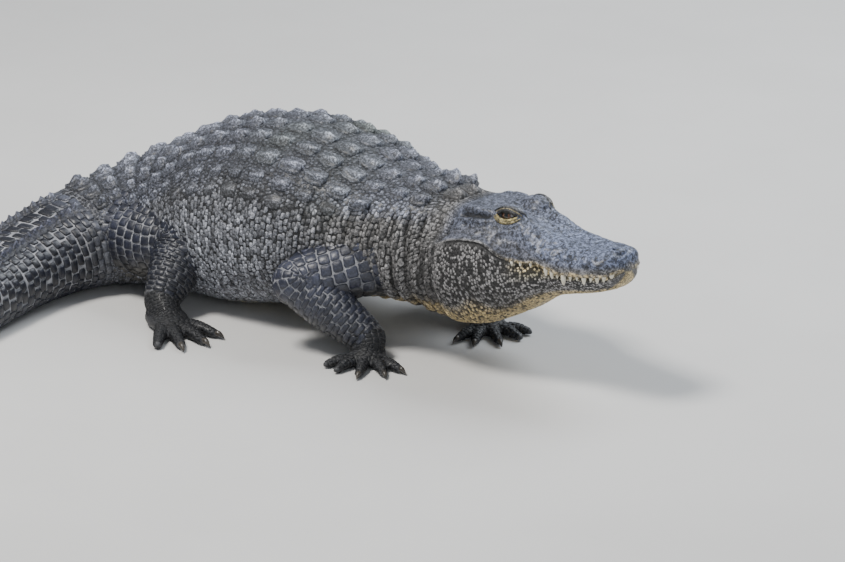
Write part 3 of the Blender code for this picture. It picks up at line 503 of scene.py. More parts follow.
def footPlan(leg):
    # sizes, middle of the palm, its axes, and each toe as (base, direction, length)
    sizes = foreSizes if leg["fore"] else hindSizes
    middle = legJoint(leg, "foot")
    forward, left = levelAxes(leg, leg["side"] * leg["toesOut"])
    palmLong, palmWide, _ = sizes["palm"]
    toes = []
    for i, length in enumerate(sizes["toes"]):
        swing = math.radians(sizes["spread"] * (i - (len(sizes["toes"]) - 1) / 2)) * leg["side"]
        aim = unit(forward * math.cos(swing) + left * math.sin(swing))
        base = middle + forward * palmLong * 0.45 + left * math.sin(swing) * palmWide * 1.15
        toes.append((base, aim, length))
    return sizes, middle, forward, left, toes


def toeJoints(base, aim, length, thick):
    half = base + aim * length * 0.5 + upward * thick * 1.15
    return [base + upward * thick, half, base + aim * length + upward * thick * 0.72]


def ballMesh(name, centre, sizes, axes, segments=24, rings=14):
    shape = bmesh.new()
    bmesh.ops.create_uvsphere(shape, u_segments=segments, v_segments=rings, radius=1)
    turn = Matrix([list(a) for a in axes]).transposed().to_4x4()
    place = Matrix.Translation(Vector(centre)) @ turn @ Matrix.Diagonal((*sizes, 1))
    bmesh.ops.transform(shape, matrix=place, verts=shape.verts)
    return fromShape(name, shape)


def joined(name, pieces):
    shape = bmesh.new()
    for piece in pieces:
        shape.from_mesh(piece.data)
        bpy.data.objects.remove(piece)
    return fromShape(name, shape)


def legMesh(name, leg):
    sizes, middle, forward, left, toes = footPlan(leg)
    root, bend, ankle = (legJoint(leg, part) for part in ("root", "bend", "ankle"))
    palmLong, _, palmThick = sizes["palm"]
    instep = [ankle, ankle + (middle + upward * palmThick - ankle) * 0.6,
              middle + forward * palmLong * 0.3 + upward * palmThick * 0.8]
    tubes = [
        ("upper", [root, (root + bend) / 2, bend], [sizes["root"], sizes["upper"], sizes["bend"]]),
        ("lower", [bend, (bend + ankle) / 2, ankle], [sizes["bend"] * 0.94, sizes["lower"], sizes["ankle"]]),
        ("instep", instep, [sizes["ankle"] * 0.95, sizes["ankle"] * 0.9, palmThick * 0.95]),
    ]
    pieces = [ringLoft(part, limbRings(path, widths)) for part, path, widths in tubes]
    palm = ballMesh("palm", middle + upward * palmThick * 0.75, sizes["palm"], (forward, left, upward))
    pieces.insert(2, palm)
    thick, outline = sizes["thick"], [middle]
    for i, toe in enumerate(toes):
        base, aim, length = toe
        rings = limbRings(toeJoints(*toe, thick), [thick * 1.1, thick, thick * 0.72], 14, 12, 0.92)
        pieces.append(ringLoft("toe", rings))
        outline.append(base + aim * length * sizes["web"])
        if i + 1 < len(toes):
            nextBase, nextAim, nextLength = toes[i + 1]
            far = nextBase + nextAim * nextLength * sizes["web"]
            outline.append((outline[-1] + far) / 2 - (aim + nextAim) * length * 0.06)
    heights = legSkin["webFrom"], legSkin["webTo"]
    pieces.append(ringLoft("web", [[p + upward * h for p in outline] for h in heights]))
    made = joined(name, pieces)
    remesh = made.modifiers.new("remesh", "REMESH")
    remesh.mode, remesh.voxel_size = "VOXEL", legSkin["voxel"]
    smooth = made.modifiers.new("smooth", "SMOOTH")
    smooth.factor, smooth.iterations = 0.5, legSkin["smooth"]
    flattened(made)
    points = placesOf(made)
    points[:, 2] = np.maximum(points[:, 2], 0.0)
    made.data.vertices.foreach_set("co", points.ravel())
    return made


legSkins = {name: legMesh(name, leg) for name, leg in legs.items()}
print("legs:", {name: len(o.data.polygons) for name, o in legSkins.items()})


def combine(target, operation, others):
    group = bpy.data.collections.new("operands")
    for other in others:
        group.objects.link(other)
    step = target.modifiers.new(operation.lower(), "BOOLEAN")
    step.operation, step.operand_type, step.collection, step.solver = operation, "COLLECTION", group, "MANIFOLD"
    flattened(target)
    for other in others:
        bpy.data.objects.remove(other)
    bpy.data.collections.remove(group)
    return target


def treeOf(obj):
    return BVHTree.FromObject(obj, bpy.context.evaluated_depsgraph_get())


trunkTree, *legTrees = [treeOf(obj) for obj in (trunkSkin, *legSkins.values())]
skin = combine(trunkSkin, "UNION", list(legSkins.values()))
skin.name = "skin"
closedUp(skin, 1e-6)
join, reach, away = skin.vertex_groups.new(name="join"), legSkin["blendReach"], 9.0
for i, p in enumerate(placesOf(skin).tolist()):
    toTrunk = trunkTree.find_nearest(p, reach)[3]
    if toTrunk is None:
        continue
    toLeg = min(tree.find_nearest(p, reach)[3] or away for tree in legTrees)
    if toLeg < reach:
        join.add([i], 1.0 - max(toTrunk, toLeg) / reach, "REPLACE")
smooth = skin.modifiers.new("smooth", "SMOOTH")
smooth.vertex_group, smooth.factor, smooth.iterations = "join", 0.6, 22
flattened(skin)
print("skin:", len(skin.data.polygons), "faces")

# Eye openings, nostrils and ear slits are cut through the skin
opening = {"long": 0.0205, "tall": 0.0092, "shares": (0.92, 1.06), "pinch": 0.30, "from": 0.010, "to": 0.036,
           "points": 40}


def eyeFrame(side):
    outward = unit(headLeft * side + headUp * 0.25 + headForward * 0.15)
    centre = headPoint(eye["station"], side * eye["out"], eye["height"]) - outward * eye["back"]
    ahead = unit(headForward - outward * (headForward @ outward))
    return centre, ahead, unit(np.cross(ahead, outward) * side), outward


def almond(grow=1.0):
    # the opening's outline, ahead of and above its middle
    angles = 2 * np.pi * np.arange(opening["points"]) / opening["points"]
    ahead, above = np.cos(angles), np.sin(angles)
    tall = opening["tall"] * grow * np.where(above > 0, *opening["shares"])
    return ahead * opening["long"] * grow, above * (1 - opening["pinch"] * ahead ** 2) * tall


cutters = []
uncutTree = treeOf(skin)
for side in (-1, 1):
    centre, ahead, above, outward = eyeFrame(side)
    wide, rise = almond()
    outline = centre + np.outer(wide, ahead) + np.outer(rise, above)
    cutters.append(ringLoft("opening", [outline + outward * opening[end] for end in ("from", "to")]))
    where = headPoint(nostril["station"], side * nostril["out"], nostril["height"])
    c, s = math.cos(nostril["swing"] * side), math.sin(nostril["swing"] * side)
    axes = (headForward * c + headLeft * s, headLeft * c - headForward * s, headUp)
    cutters.append(ballMesh("nostril", where, nostril["slit"], axes))
    slit = surface(np.array(ear["stations"]), np.array(ear["shares"]), float(side), ear["sink"])
    cutters.append(ringLoft("ear", limbRings(slit, ear["sizes"], 12, 14)))
combine(skin, "DIFFERENCE", cutters)
closedUp(skin, 1e-6)
skinTree = treeOf(skin)
print("openings cut:", len(skin.data.polygons), "faces")


# Flat sheets: a scale laid out on one is carried to the skin's own place and lie
def gridNormals(points):
    normal = np.cross(np.gradient(points, axis=0), np.gradient(points, axis=1))
    normal /= np.maximum(np.linalg.norm(normal, axis=2, keepdims=True), 1e-12)
    away = points - points.mean(axis=1, keepdims=True)
    return normal * np.where((away * normal).sum(2, keepdims=True) < 0, -1, 1)


def snapped(points, reach):
    # each place moved onto the skin, and whether it has none within reach
    flat = points.reshape(-1, 3)
    found, buried = flat.copy(), np.zeros(len(flat), bool)
    for i, p in enumerate(flat.tolist()):
        place, _, _, far = skinTree.find_nearest(p, 0.2)
        if place is not None and far < reach:
            found[i] = place
        else:
            buried[i] = True
    return found.reshape(points.shape), buried.reshape(points.shape[:2])


def sheetObject(name, blocks):
    # each block: flat x and y, places, normals, all on one grid
    corners, faces, rest, outward, start = [], [], [], [], 0
    for x, y, places, normals in blocks:
        rows, count = x.shape
        corners.append(np.column_stack([x.ravel(), y.ravel(), 0 * x.ravel()]))
        rest.append(places.reshape(-1, 3))
        outward.append(normals.reshape(-1, 3))
        a = (start + np.arange(rows - 1)[:, None] * count + np.arange(count - 1)[None]).ravel()
        faces.append(np.column_stack([a, a + 1, a + count + 1, a + count]))
        start += rows * count
    made = meshObject(name, np.concatenate(corners), np.concatenate(faces).tolist())
    store(made, "rest", np.concatenate(rest))
    store(made, "outward", np.concatenate(outward))
    return made


half = grid["half"]
order = [half - 1] + list(range(half, 2 * half - 2)) + list(range(half))
bodyRows = bodyGrid[:, order]
trunkShares = np.column_stack([-across[:, half - 1:half], -across[:, half:], across[:, :half]])
trunkPlaces, trunkBuried = snapped(bodyRows, 0.007)
trunkNormals = gridNormals(bodyRows)
trunkX = np.repeat(stations[:, None], trunkShares.shape[1], axis=1)
halfLengths = np.linalg.norm(np.diff(bodyGrid[:, :half], axis=1), axis=2).sum(axis=1)


def halfLength(station):
    # from the back's middle to the belly's, round one side
    return float(np.interp(station, stations, halfLengths))


def onTrunk(x, y):
    # nearest grid row and column to flat places, for colour and to skip what a leg covers
    row = np.clip(np.searchsorted(stations, x), 0, len(stations) - 1)
    column = np.array([np.searchsorted(trunkShares[r], v) for r, v in zip(row, y)])
    column = column.clip(0, trunkShares.shape[1] - 1)
    return trunkPlaces[row, column], trunkBuried[row, column]


crestNormals = trunkNormals + [0, 0, 1]
crestNormals /= np.maximum(np.linalg.norm(crestNormals, axis=2, keepdims=True), 1e-6)
trunkSheet = sheetObject("trunkSheet", [(trunkX, trunkShares, trunkPlaces, trunkNormals)])
tailRows = stations > 1.30
crestBlock = [values[tailRows] for values in (trunkX, trunkShares, trunkPlaces, crestNormals)]
crestSheet = sheetObject("crestSheet", [crestBlock])

# Leg tubes, each a block of the leg sheet: x runs along the tube in metres, y round it from -1 to 1
tubeRules = {"from": 4.0, "legPitch": 1.0, "partPitch": 3.0, "sides": 32, "seam": 24, "outerShare": 0.65,
             "limb": {"step": 0.0016, "reach": 0.018}, "foot": {"step": 0.006, "reach": 0.016}}


def tubeLines(leg):
    # each tube's name, path and widths; limb first, then the back of the foot, then the toes
    sizes, middle, forward, left, toes = footPlan(leg)
    root, bend, ankle = (legJoint(leg, part) for part in ("root", "bend", "ankle"))
    palmLong, _, palmThick = sizes["palm"]
    limb = [root, (root + bend) / 2, bend, (bend + ankle) / 2, ankle]
    yield "limb", limb, [sizes[part] for part in ("root", "upper", "bend", "lower", "ankle")]
    instep = [ankle + (bend - ankle) * 0.08, middle + upward * palmThick * 0.8,
              middle + forward * palmLong * 0.8 + upward * palmThick * 0.7]
    yield "instep", instep, [sizes["ankle"], palmThick * 1.3, palmThick]
    for toe in toes:
        yield "toe", toeJoints(*toe, sizes["thick"]), [sizes["thick"] * size for size in (1.1, 1, 0.7)]


tubes = []
for k, leg in enumerate(legs.values()):
    bend = legJoint(leg, "bend")
    for j, (part, path, widths) in enumerate(tubeLines(leg)):
        rule = tubeRules["limb" if part == "limb" else "foot"]
        steps = max(8, int(sum(np.linalg.norm(np.diff(path, axis=0), axis=1)) / rule["step"]))
        rings = np.roll(limbRings(path, widths, tubeRules["sides"], steps, 1.0, ()), -tubeRules["seam"], axis=1)
        rings = np.concatenate([rings, rings[:, :1]], axis=1)
        places, buried = snapped(rings, rule["reach"])
        # distance along the tube, counted more on the outer side of a bend
        strides, outer = np.linalg.norm(np.diff(rings, axis=0), axis=2), tubeRules["outerShare"]
        along = (1 - outer) * strides.mean(axis=1) + outer * strides.max(axis=1)
        along = np.concatenate([[0], np.cumsum(along)])
        bendRow = np.argmin(np.linalg.norm(rings.mean(axis=1) - bend, axis=1))
        flat = 0 * rings[:, :, 0]
        tubes.append({
            "index": k, "part": part, "slot": j,
            "places": places, "buried": buried, "normals": gridNormals(rings),
            "x": tubeRules["from"] + tubeRules["legPitch"] * k + flat + along[:, None],
            "y": np.linspace(-1, 1, rings.shape[1])[None] + tubeRules["partPitch"] * j + flat,
            "bendAt": float(along[bendRow]) if part == "limb" else 0.0,
            "along": along, "around": np.linalg.norm(np.diff(rings, axis=1), axis=2).sum(axis=1),
        })
legSheet = sheetObject("legSheet", [(t["x"], t["y"], t["places"], t["normals"]) for t in tubes])
print("sheets laid:", len(tubes), "leg tubes")


# Colours by place, shared by the skin and every scale
palette = {
    # snout: its blue-grey is partly the hide's own colour and partly painted reflection of the sky on the snout's
    # top
    "headTop": (0.125, 0.140, 0.195), "snout": (0.132, 0.162, 0.262), "cheek": (0.105, 0.113, 0.150),
    "lip": (0.54, 0.43, 0.24), "jaw": (0.230, 0.200, 0.110), "jowl": (0.150, 0.145, 0.145),
    "throat": (0.58, 0.45, 0.22), "neck": (0.265, 0.258, 0.258), "flank": (0.270, 0.280, 0.315),
    # back: its light blue-grey is partly the hide's own colour and partly painted reflection of the sky on the
    # trunk's top
    "back": (0.400, 0.430, 0.545), "belly": (0.50, 0.44, 0.29), "tail": (0.014, 0.015, 0.023),
    "tailSide": (0.012, 0.014, 0.024), "tailUnder": (0.070, 0.066, 0.055), "arm": (0.040, 0.045, 0.074),
    "foot": (0.010, 0.011, 0.014), "legUnder": (0.060, 0.057, 0.048), "green": (0.150, 0.190, 0.070),
}
palette = {name: np.array(colour) for name, colour in palette.items()}


def over(base, name, weight):
    return base + (palette[name] - base) * np.clip(weight, 0, 1)[:, None]


def darker(colours, amount):
    return colours * (1 - amount)[:, None]


def trunkShade(points, s, t):
    t = np.abs(t)
    drift, patch, folds = noiseAt(points, 14, 5.0) * 0.05, noiseAt(points, 5, 2.0), noiseAt(points, 9, 3.1)
    u = t + drift
    c = np.tile(palette["neck"], (len(s), 1))
    c = over(c, "flank", ease(0.55, 0.75, s))
    # painted reflection: the back's blue-grey stands partly for sky reflected on the top of the trunk
    c = over(c, "back", fall(0.24, 0.34, u) * ease(0.40, 0.50, s))
    c = over(c, "belly", ease(0.80, 0.92, u + drift) * ease(0.50, 0.60, s) * (1 - 0.85 * ease(1.00, 1.22, s)))
    c = over(c, "throat", ease(0.74, 0.86, u) * fall(0.52, 0.62, s))
    head = fall(0.365, 0.405, s)
    c = over(c, "headTop", head * fall(0.34, 0.44, u))
    # painted reflection of the sky on the snout's top, over its own colour
    c = over(c, "snout", 0.8 * fall(0.16, 0.27, s) * fall(0.40, 0.50, t))
    c = darker(c, 0.30 * head * ease(0.34, 0.44, u) * fall(0.52, 0.56, t) * fall(0.13, 0.22, s))
    c = over(c, "cheek", head * ease(0.30, 0.40, u) * fall(0.50, 0.56, t) * ease(0.13, 0.22, s))
    c = over(c, "jowl", band(t, 0.56, 0.58, 0.80, 0.88) * fall(0.40, 0.46, s))
    c = over(c, "jaw", 0.8 * ease(0.567, 0.58, t) * fall(0.60, 0.68, u) * fall(0.17, 0.25, s))
    c = over(c, "throat", ease(0.78, 0.84, u) * fall(0.40, 0.50, s))
    wave, specks = 0.010 * np.sin(s * 150) + drift * 0.5, ease(-0.35, 0.15, noiseAt(points, 160, 6.0))
    upperLip = ease(0.512, 0.540, t + wave) * fall(0.567, 0.573, t) * fall(0.215, 0.262, s)
    c = over(c, "lip", (0.25 + 0.75 * specks) * upperLip)
    c = over(c, "lip", 0.75 * specks * ease(0.573, 0.580, t) * fall(0.60, 0.63, t + wave) * fall(0.18, 0.25, s))
    # painted shade in the mouth's line and in the ear's groove under its flap, a painted highlight on the edge
    # over the ear
    mouth = 0.60 * ease(0.016, 0.03, s) + 0.40 * ease(0.20, 0.24, s)
    c = darker(c, 0.85 * hump(0.5735, 0.009, t) * mouth * fall(0.345, 0.37, s))
    c = darker(c, 0.95 * hump(0.247, 0.030, t) * band(s, 0.284, 0.298, 0.354, 0.366))
    c = darker(c, -0.35 * hump(0.195, 0.022, t) * band(s, 0.285, 0.31, 0.36, 0.38))
    # painted shade in the creases down the neck and in the folds behind the jowl
    c = darker(c, 0.82 * np.maximum(0, -neckFolds(s, t, folds)))
    c = darker(c, 0.72 * np.minimum(1, foldMask(s, t, folds)))
    tail = ease(1.20, 1.42, s + 0.3 * drift)
    c = over(c, "tailSide", tail * fall(0.84, 0.95, t))
    c = over(c, "tail", tail * fall(0.30, 0.50, t) * 0.7)
    c = over(c, "tailUnder", tail * ease(0.84, 0.95, t))
    c = over(c, "green", 0.50 * hump(0.74, 0.10, s) * fall(0.30, 0.42, t) * ease(-0.25, 0.25, patch))
    return darker(c, -0.22 * patch)


def legShade(points, fore, down, footward):
    c = np.tile(palette["arm"], (len(points), 1)) * np.where(fore, 1.0, 0.62)[:, None]
    c = over(c, "foot", footward)
    c = over(c, "legUnder", 0.8 * down * (1 - footward))
    return darker(c, -0.25 * noiseAt(points, 11, 4.0))


# Scale shapes of unit size, each with its rim, its lift and its own flat place as attributes
def shapeValues(made, rims, points, lifts=None):
    store(smoothed(made), "rim", rims)
    store(made, "lift", [max(0.0, p[2]) for p in points] if lifts is None else lifts)
    return made


def scaleShape(name, outline, levels, top=1.0):
    # the outline drawn in level by level, and closed by a point on top
    count = len(outline)
    points, rims = [], []
    for reach, z in levels:
        points += [(x * reach, y * reach, z) for x, y in outline]
        rims += [reach] * count
    faces = [tuple(range(count - 1, -1, -1))]
    following = [(i, (i + 1) % count) for i in range(count)]
    for low in range(0, (len(levels) - 1) * count, count):
        faces += [(low + i, low + j, low + count + j, low + count + i) for i, j in following]
    last = (len(levels) - 1) * count
    faces += [(last + i, last + j, len(points)) for i, j in following]
    points.append((0, 0, top))
    made = shapeValues(meshObject(name, points, faces), rims + [0.0], points)
    store(made, "local", [(p[0] + 0.5, p[1] + 0.5, 0) for p in points])
    return made


def rounded(count, power, lean, seed, rough):
    rng = np.random.default_rng(seed)
    a = 2 * np.pi * (np.arange(count) + 0.5) / count
    x, y = (np.sign(f) * np.abs(f) ** (2 / power) * 0.5 for f in (np.cos(a), np.sin(a)))
    return np.column_stack([x + lean * y, y]) * (1 + rough * rng.uniform(-1, 1, count))[:, None]


def shapeSet(name, shapes):
    group = bpy.data.collections.new(name)
    for shape in shapes:
        bpy.context.scene.collection.objects.unlink(shape)
        group.objects.link(shape)
    return group


def plateShape(name, seed, keel, cuts):
    # a square grid drawn in to a rounded plate, with a rough rim and a keel that climbs to its rear end
    lean = np.random.default_rng(seed).uniform(-0.05, 0.05)
    points, rims = [], []
    for i in range(cuts + 1):
        for j in range(cuts + 1):
            u, v = 2 * i / cuts - 1, 2 * j / cuts - 1
            x = 0.5 * u * (1 - 0.14 * abs(v) ** 2.4)
            y = 0.5 * v * (1 - 0.24 * abs(u) ** 2.6 - 0.10 * (u > 0) * u)
            out = max(abs(u), abs(v))
            z = -0.5 if out > 0.99 else 0.16 + 0.10 * math.exp(-((out - 0.8) / 0.1) ** 2)
            if out < 0.99:
                climb = 0.22 + 0.78 * math.exp(-((u + 0.30) / 0.52) ** 2)
                ridge = 0.72 * math.exp(-((v - lean * (1 - u)) / 0.22) ** 2) + 0.28 * math.exp(-(v / 0.62) ** 2)
                z += keel * climb * ridge * (1 - max(0, out - 0.82) * 3.5)
                z += 0.055 * noise.noise(Vector((x * 9, y * 9, seed * 3.7)))
                z += 0.05 * math.sin(14 * math.atan2(y, x) + seed) * out * out
            points.append((x, y, z))
            rims.append(out)
    wide = cuts + 1
    faces = [(a, a + wide, a + wide + 1, a + 1) for i in range(cuts) for a in range(i * wide, i * wide + cuts)]
    border = [i * wide for i in range(wide)] + [cuts * wide + j for j in range(1, wide)]
    border += [i * wide + cuts for i in range(cuts - 1, -1, -1)] + list(range(cuts - 1, 0, -1))
    made = closedUp(meshObject(name, points, faces + [tuple(border)]), 1e-6)
    shapeValues(made, rims, points)
    store(made, "local", [(p[0] + 0.5, p[1] + 0.5, 0) for p in points])
    return made


def bladeShape(name, seed, rows=5, columns=9):
    # a fin: flat sides that taper to a thin upper edge, leaning back
    rng = np.random.default_rng(seed)
    points = []
    for side in (1, -1):
        for r in range(rows):
            z = r / (rows - 1)
            for c in range(columns):
                u = c / (columns - 1)
                front, rear = 0.5 - 0.45 * z, -0.5 + 0.06 * z
                crown = min(1.0, 0.34 + 0.9 * u) * (1 - 0.25 * max(0, u - 0.86) / 0.14)
                height = (-0.25 + z * (crown + 0.25)) * (1 + 0.02 * rng.uniform(-1, 1))
                swell = math.sin(math.pi * min(1, max(0, 0.04 + 0.92 * u))) ** 0.5
                thick = 0.5 * (1 - z ** 1.6) ** 0.8 * swell + 0.02
                thick *= 1 + 0.12 * math.sin(13 * u + 5 * z + seed)
                points.append((front + (rear - front) * u, side * thick, height))
    block = rows * columns
    faces = []
    for a in (r * columns + c for r in range(rows - 1) for c in range(columns - 1)):
        faces.append((a, a + 1, a + columns + 1, a + columns))
        faces.append((block + a, block + a + columns, block + a + columns + 1, block + a + 1))
    ups, overs = range(rows - 1), range(columns - 1)
    border = [(r * columns, (r + 1) * columns) for r in ups]
    border += [(columns * (rows - 1) + c, columns * (rows - 1) + c + 1) for c in overs]
    border += [((r + 1) * columns - 1, (r + 2) * columns - 1) for r in ups] + [(c, c + 1) for c in overs]
    faces += [(a, b, block + b, block + a) for a, b in border]
    made = closedUp(meshObject(name, points, faces), 1e-6)
    spots = placesOf(made).tolist()
    shapeValues(made, [max(0.0, z) for x, y, z in spots], spots, [0.5 + 0.5 * max(0.0, z) for x, y, z in spots])
    store(made, "local", [(x + 0.5, z * 0.5, 0) for x, y, z in spots])
    return made


# Scales: corners, squareness, lean from shape to shape, first seed, roughness, and (reach, height) levels
scaleKinds = {
    "granule": {"corners": 6, "power": 2.3, "lean": 0.1, "middle": 1, "seed": 0, "rough": 0.10,
                "levels": ((1.0, -0.5), (0.86, 0.62))},
    "cell": {"corners": 8, "power": 5.5, "lean": 0.08, "middle": 1.5, "seed": 9, "rough": 0.045,
             "levels": ((1.0, -0.6), (0.955, 0.50), (0.72, 0.92))},
    "slab": {"corners": 8, "power": 3.4, "lean": 0.12, "middle": 1, "seed": 5, "rough": 0.10,
             "levels": ((1.0, -0.5), (0.91, 0.82))},
}


def scaleSet(name, kind):
    outlines = [rounded(kind["corners"], kind["power"], kind["lean"] * (i - kind["middle"]), i + kind["seed"],
                        kind["rough"]) for i in range(4)]
    return shapeSet(name + "s", [scaleShape(name + str(i), outline.tolist(), kind["levels"])
                                 for i, outline in enumerate(outlines)])


granules, cells, slabs = (scaleSet(name, kind) for name, kind in scaleKinds.items())
plates = shapeSet("plates", [plateShape("plate" + str(i), i + 1, 0.74, 10) for i in range(5)])
lowPlates = shapeSet("lowPlates", [plateShape("lowPlate" + str(i), i + 11, 0.62, 8) for i in range(3)])
blades = shapeSet("blades", [bladeShape("blade" + str(i), i) for i in range(3)])
toothLevels = ((1.0, 0.0), (0.97, 0.25), (0.84, 0.5), (0.6, 0.75), (0.3, 0.93))
fangs = shapeSet("fangs", [scaleShape("fang", rounded(10, 2, 0, 1, 0.0).tolist(), toothLevels)])


def layTree():
    # carries unit shapes to flat points, then from the flat sheet to the skin
    tree = bpy.data.node_groups.new("layOnSheet", "GeometryNodeTree")
    sockets = {"Points": "Geometry", "Sheet": "Object", "Shapes": "Collection", "Material": "Material"}
    for label, kind in sockets.items():
        tree.interface.new_socket(label, in_out="INPUT", socket_type="NodeSocket" + kind)
    tree.interface.new_socket("Result", in_out="OUTPUT", socket_type="NodeSocketGeometry")

    def node(kind, links=None, **settings):
        made = tree.nodes.new(kind)
        for key, value in settings.items():
            setattr(made, key, value)
        for key, value in (links or {}).items():
            if isinstance(value, bpy.types.NodeSocket):
                tree.links.new(value, made.inputs[key])
            else:
                made.inputs[key].default_value = value
        return made.outputs

    def named(label, kind="FLOAT_VECTOR"):
        return node("GeometryNodeInputNamedAttribute", {"Name": label}, data_type=kind)["Attribute"]

    given = node("NodeGroupInput")
    shapes = node("GeometryNodeCollectionInfo", {
        "Collection": given["Shapes"], "Separate Children": True, "Reset Children": True})
    placed = node("GeometryNodeInstanceOnPoints", {
        "Points": given["Points"], "Instance": shapes[0], "Pick Instance": True,
        "Instance Index": named("pick", "INT"), "Scale": named("size")})
    real = node("GeometryNodeRealizeInstances", {"Geometry": placed[0]})
    parts = node("ShaderNodeSeparateXYZ", {"Vector": node("GeometryNodeInputPosition")[0]})
    flat = node("ShaderNodeCombineXYZ", {"X": parts["X"], "Y": parts["Y"]})
    sheet = node("GeometryNodeObjectInfo", {"Object": given["Sheet"]})
    rest, outward = (
        node("GeometryNodeSampleNearestSurface", {
            "Mesh": sheet["Geometry"], "Value": named(label), "Sample Position": flat[0],
        }, data_type="FLOAT_VECTOR")["Value"] for label in ("rest", "outward"))
    lifted = node("ShaderNodeVectorMath", {0: outward, 1: parts["Z"], 2: rest}, operation="MULTIPLY_ADD")
    moved = node("GeometryNodeSetPosition", {"Geometry": real[0], "Position": lifted[0]})
    patch = node("ShaderNodeVectorMath", {0: named("local"), 1: (0.003, 0.003, 0.003), 2: named("root")},
                 operation="MULTIPLY_ADD")
    mapped = node("GeometryNodeStoreNamedAttribute", {
        "Geometry": moved[0], "Name": "OFBake", "Value": patch[0]}, data_type="FLOAT2", domain="CORNER")
    painted = node("GeometryNodeSetMaterial", {"Geometry": mapped[0], "Material": given["Material"]})
    node("NodeGroupOutput", {"Result": painted[0]})
    return tree


layOnSheet = layTree()


def atlas(x, y):
    # places of the unwrap: the trunk above, a column for each leg below it
    x, y = np.asarray(x, float), np.asarray(y, float)
    k = np.clip(np.floor(x - tubeRules["from"]), 0, 3)
    j = np.round(y / tubeRules["partPitch"])
    along = np.clip((x - tubeRules["from"] - k) / 0.60, 0, 1)
    turn = np.clip((y - tubeRules["partPitch"] * j + 1) / 2, 0, 1)
    onLeg = np.column_stack([0.01 + 0.245 * k + 0.235 * along, 0.01 + 0.034 * (j + turn * 0.9)])
    onBody = np.column_stack([0.01 + 0.98 * x / body["length"], 0.33 + 0.66 * (y + 1) / 2])
    return np.where((x > 3.5)[:, None], onLeg, onBody)


def layScales(name, sheet, shapes, material, x, y, sizes, shades, seed):
    picks = np.random.default_rng(seed).integers(0, len(shapes.objects), len(x))
    flat = np.zeros(len(x))
    made = meshObject(name, np.column_stack([x, y, flat]), [])
    for label, values in (("size", sizes), ("shade", shades), ("root", np.column_stack([atlas(x, y), flat]))):
        store(made, label, values)
    made.data.attributes.new("pick", "INT", "POINT").data.foreach_set("value", np.ascontiguousarray(picks))
    step = made.modifiers.new("lay", "NODES")
    step.node_group = layOnSheet
    ids = {item.name: item.identifier for item in layOnSheet.interface.items_tree if item.in_out == "INPUT"}
    step[ids["Sheet"]], step[ids["Shapes"]], step[ids["Material"]] = sheet, shapes, material
    flattened(made)
    # a sheet that runs left-handed turns its scales inside out
    shape = bmesh.new()
    shape.from_mesh(made.data)
    if shape.calc_volume(signed=True) < 0:
        made.data.flip_normals()
    shape.free()
    for label in ("size", "pick", "root", "local"):
        if label in made.data.attributes:
            made.data.attributes.remove(made.data.attributes[label])
    print(name, len(x), "scales,", triangleCount(made), "triangles")
    return made


def bricks(coat, low, high, seed):
    # rows of cells across a band of the trunk's sheet: x, y, length and width of each in flat measures
    rng = np.random.default_rng(seed)
    jitter, found, x, row = coat["jitter"], [], coat["from"], 0
    while x < coat["to"]:
        length = tabled(coat["long"], x)
        count = max(1, int(round((high - low) * halfLength(x + length / 2) / tabled(coat["wide"], x))))
        width = (high - low) / count
        for i in range(count):
            y = low + (i + 0.5 + 0.5 * (row % 2)) * width + rng.uniform(-jitter, jitter) * width
            found.append((x + length / 2 + rng.uniform(-jitter, jitter) * length, y, length, width))
        x, row = x + length, row + 1
    return np.array(found)


class Wire:
    # a socket that takes part in sums

    def __init__(self, graph, socket):
        self.graph, self.socket = graph, socket

    def math(self, operation, *others, turned=False):
        values = [self, *others]
        if turned:
            values = [others[0], self]
        return self.graph.node("ShaderNodeMath", {"operation": operation}, dict(enumerate(values)))[0]

    def __add__(self, other): return self.math("ADD", other)
    def __radd__(self, other): return self.math("ADD", other, turned=True)
    def __sub__(self, other): return self.math("SUBTRACT", other)
    def __rsub__(self, other): return self.math("SUBTRACT", other, turned=True)
    def __mul__(self, other): return self.math("MULTIPLY", other)
    def __rmul__(self, other): return self.math("MULTIPLY", other, turned=True)
    def __truediv__(self, other): return self.math("DIVIDE", other)
    def __pow__(self, other): return self.math("POWER", other)

    def between(self, low, high):
        settings, inputs = {"interpolation_type": "SMOOTHSTEP"}, {"Value": self, "From Min": low, "From Max": high}
        return self.graph.node("ShaderNodeMapRange", settings, inputs)[0]


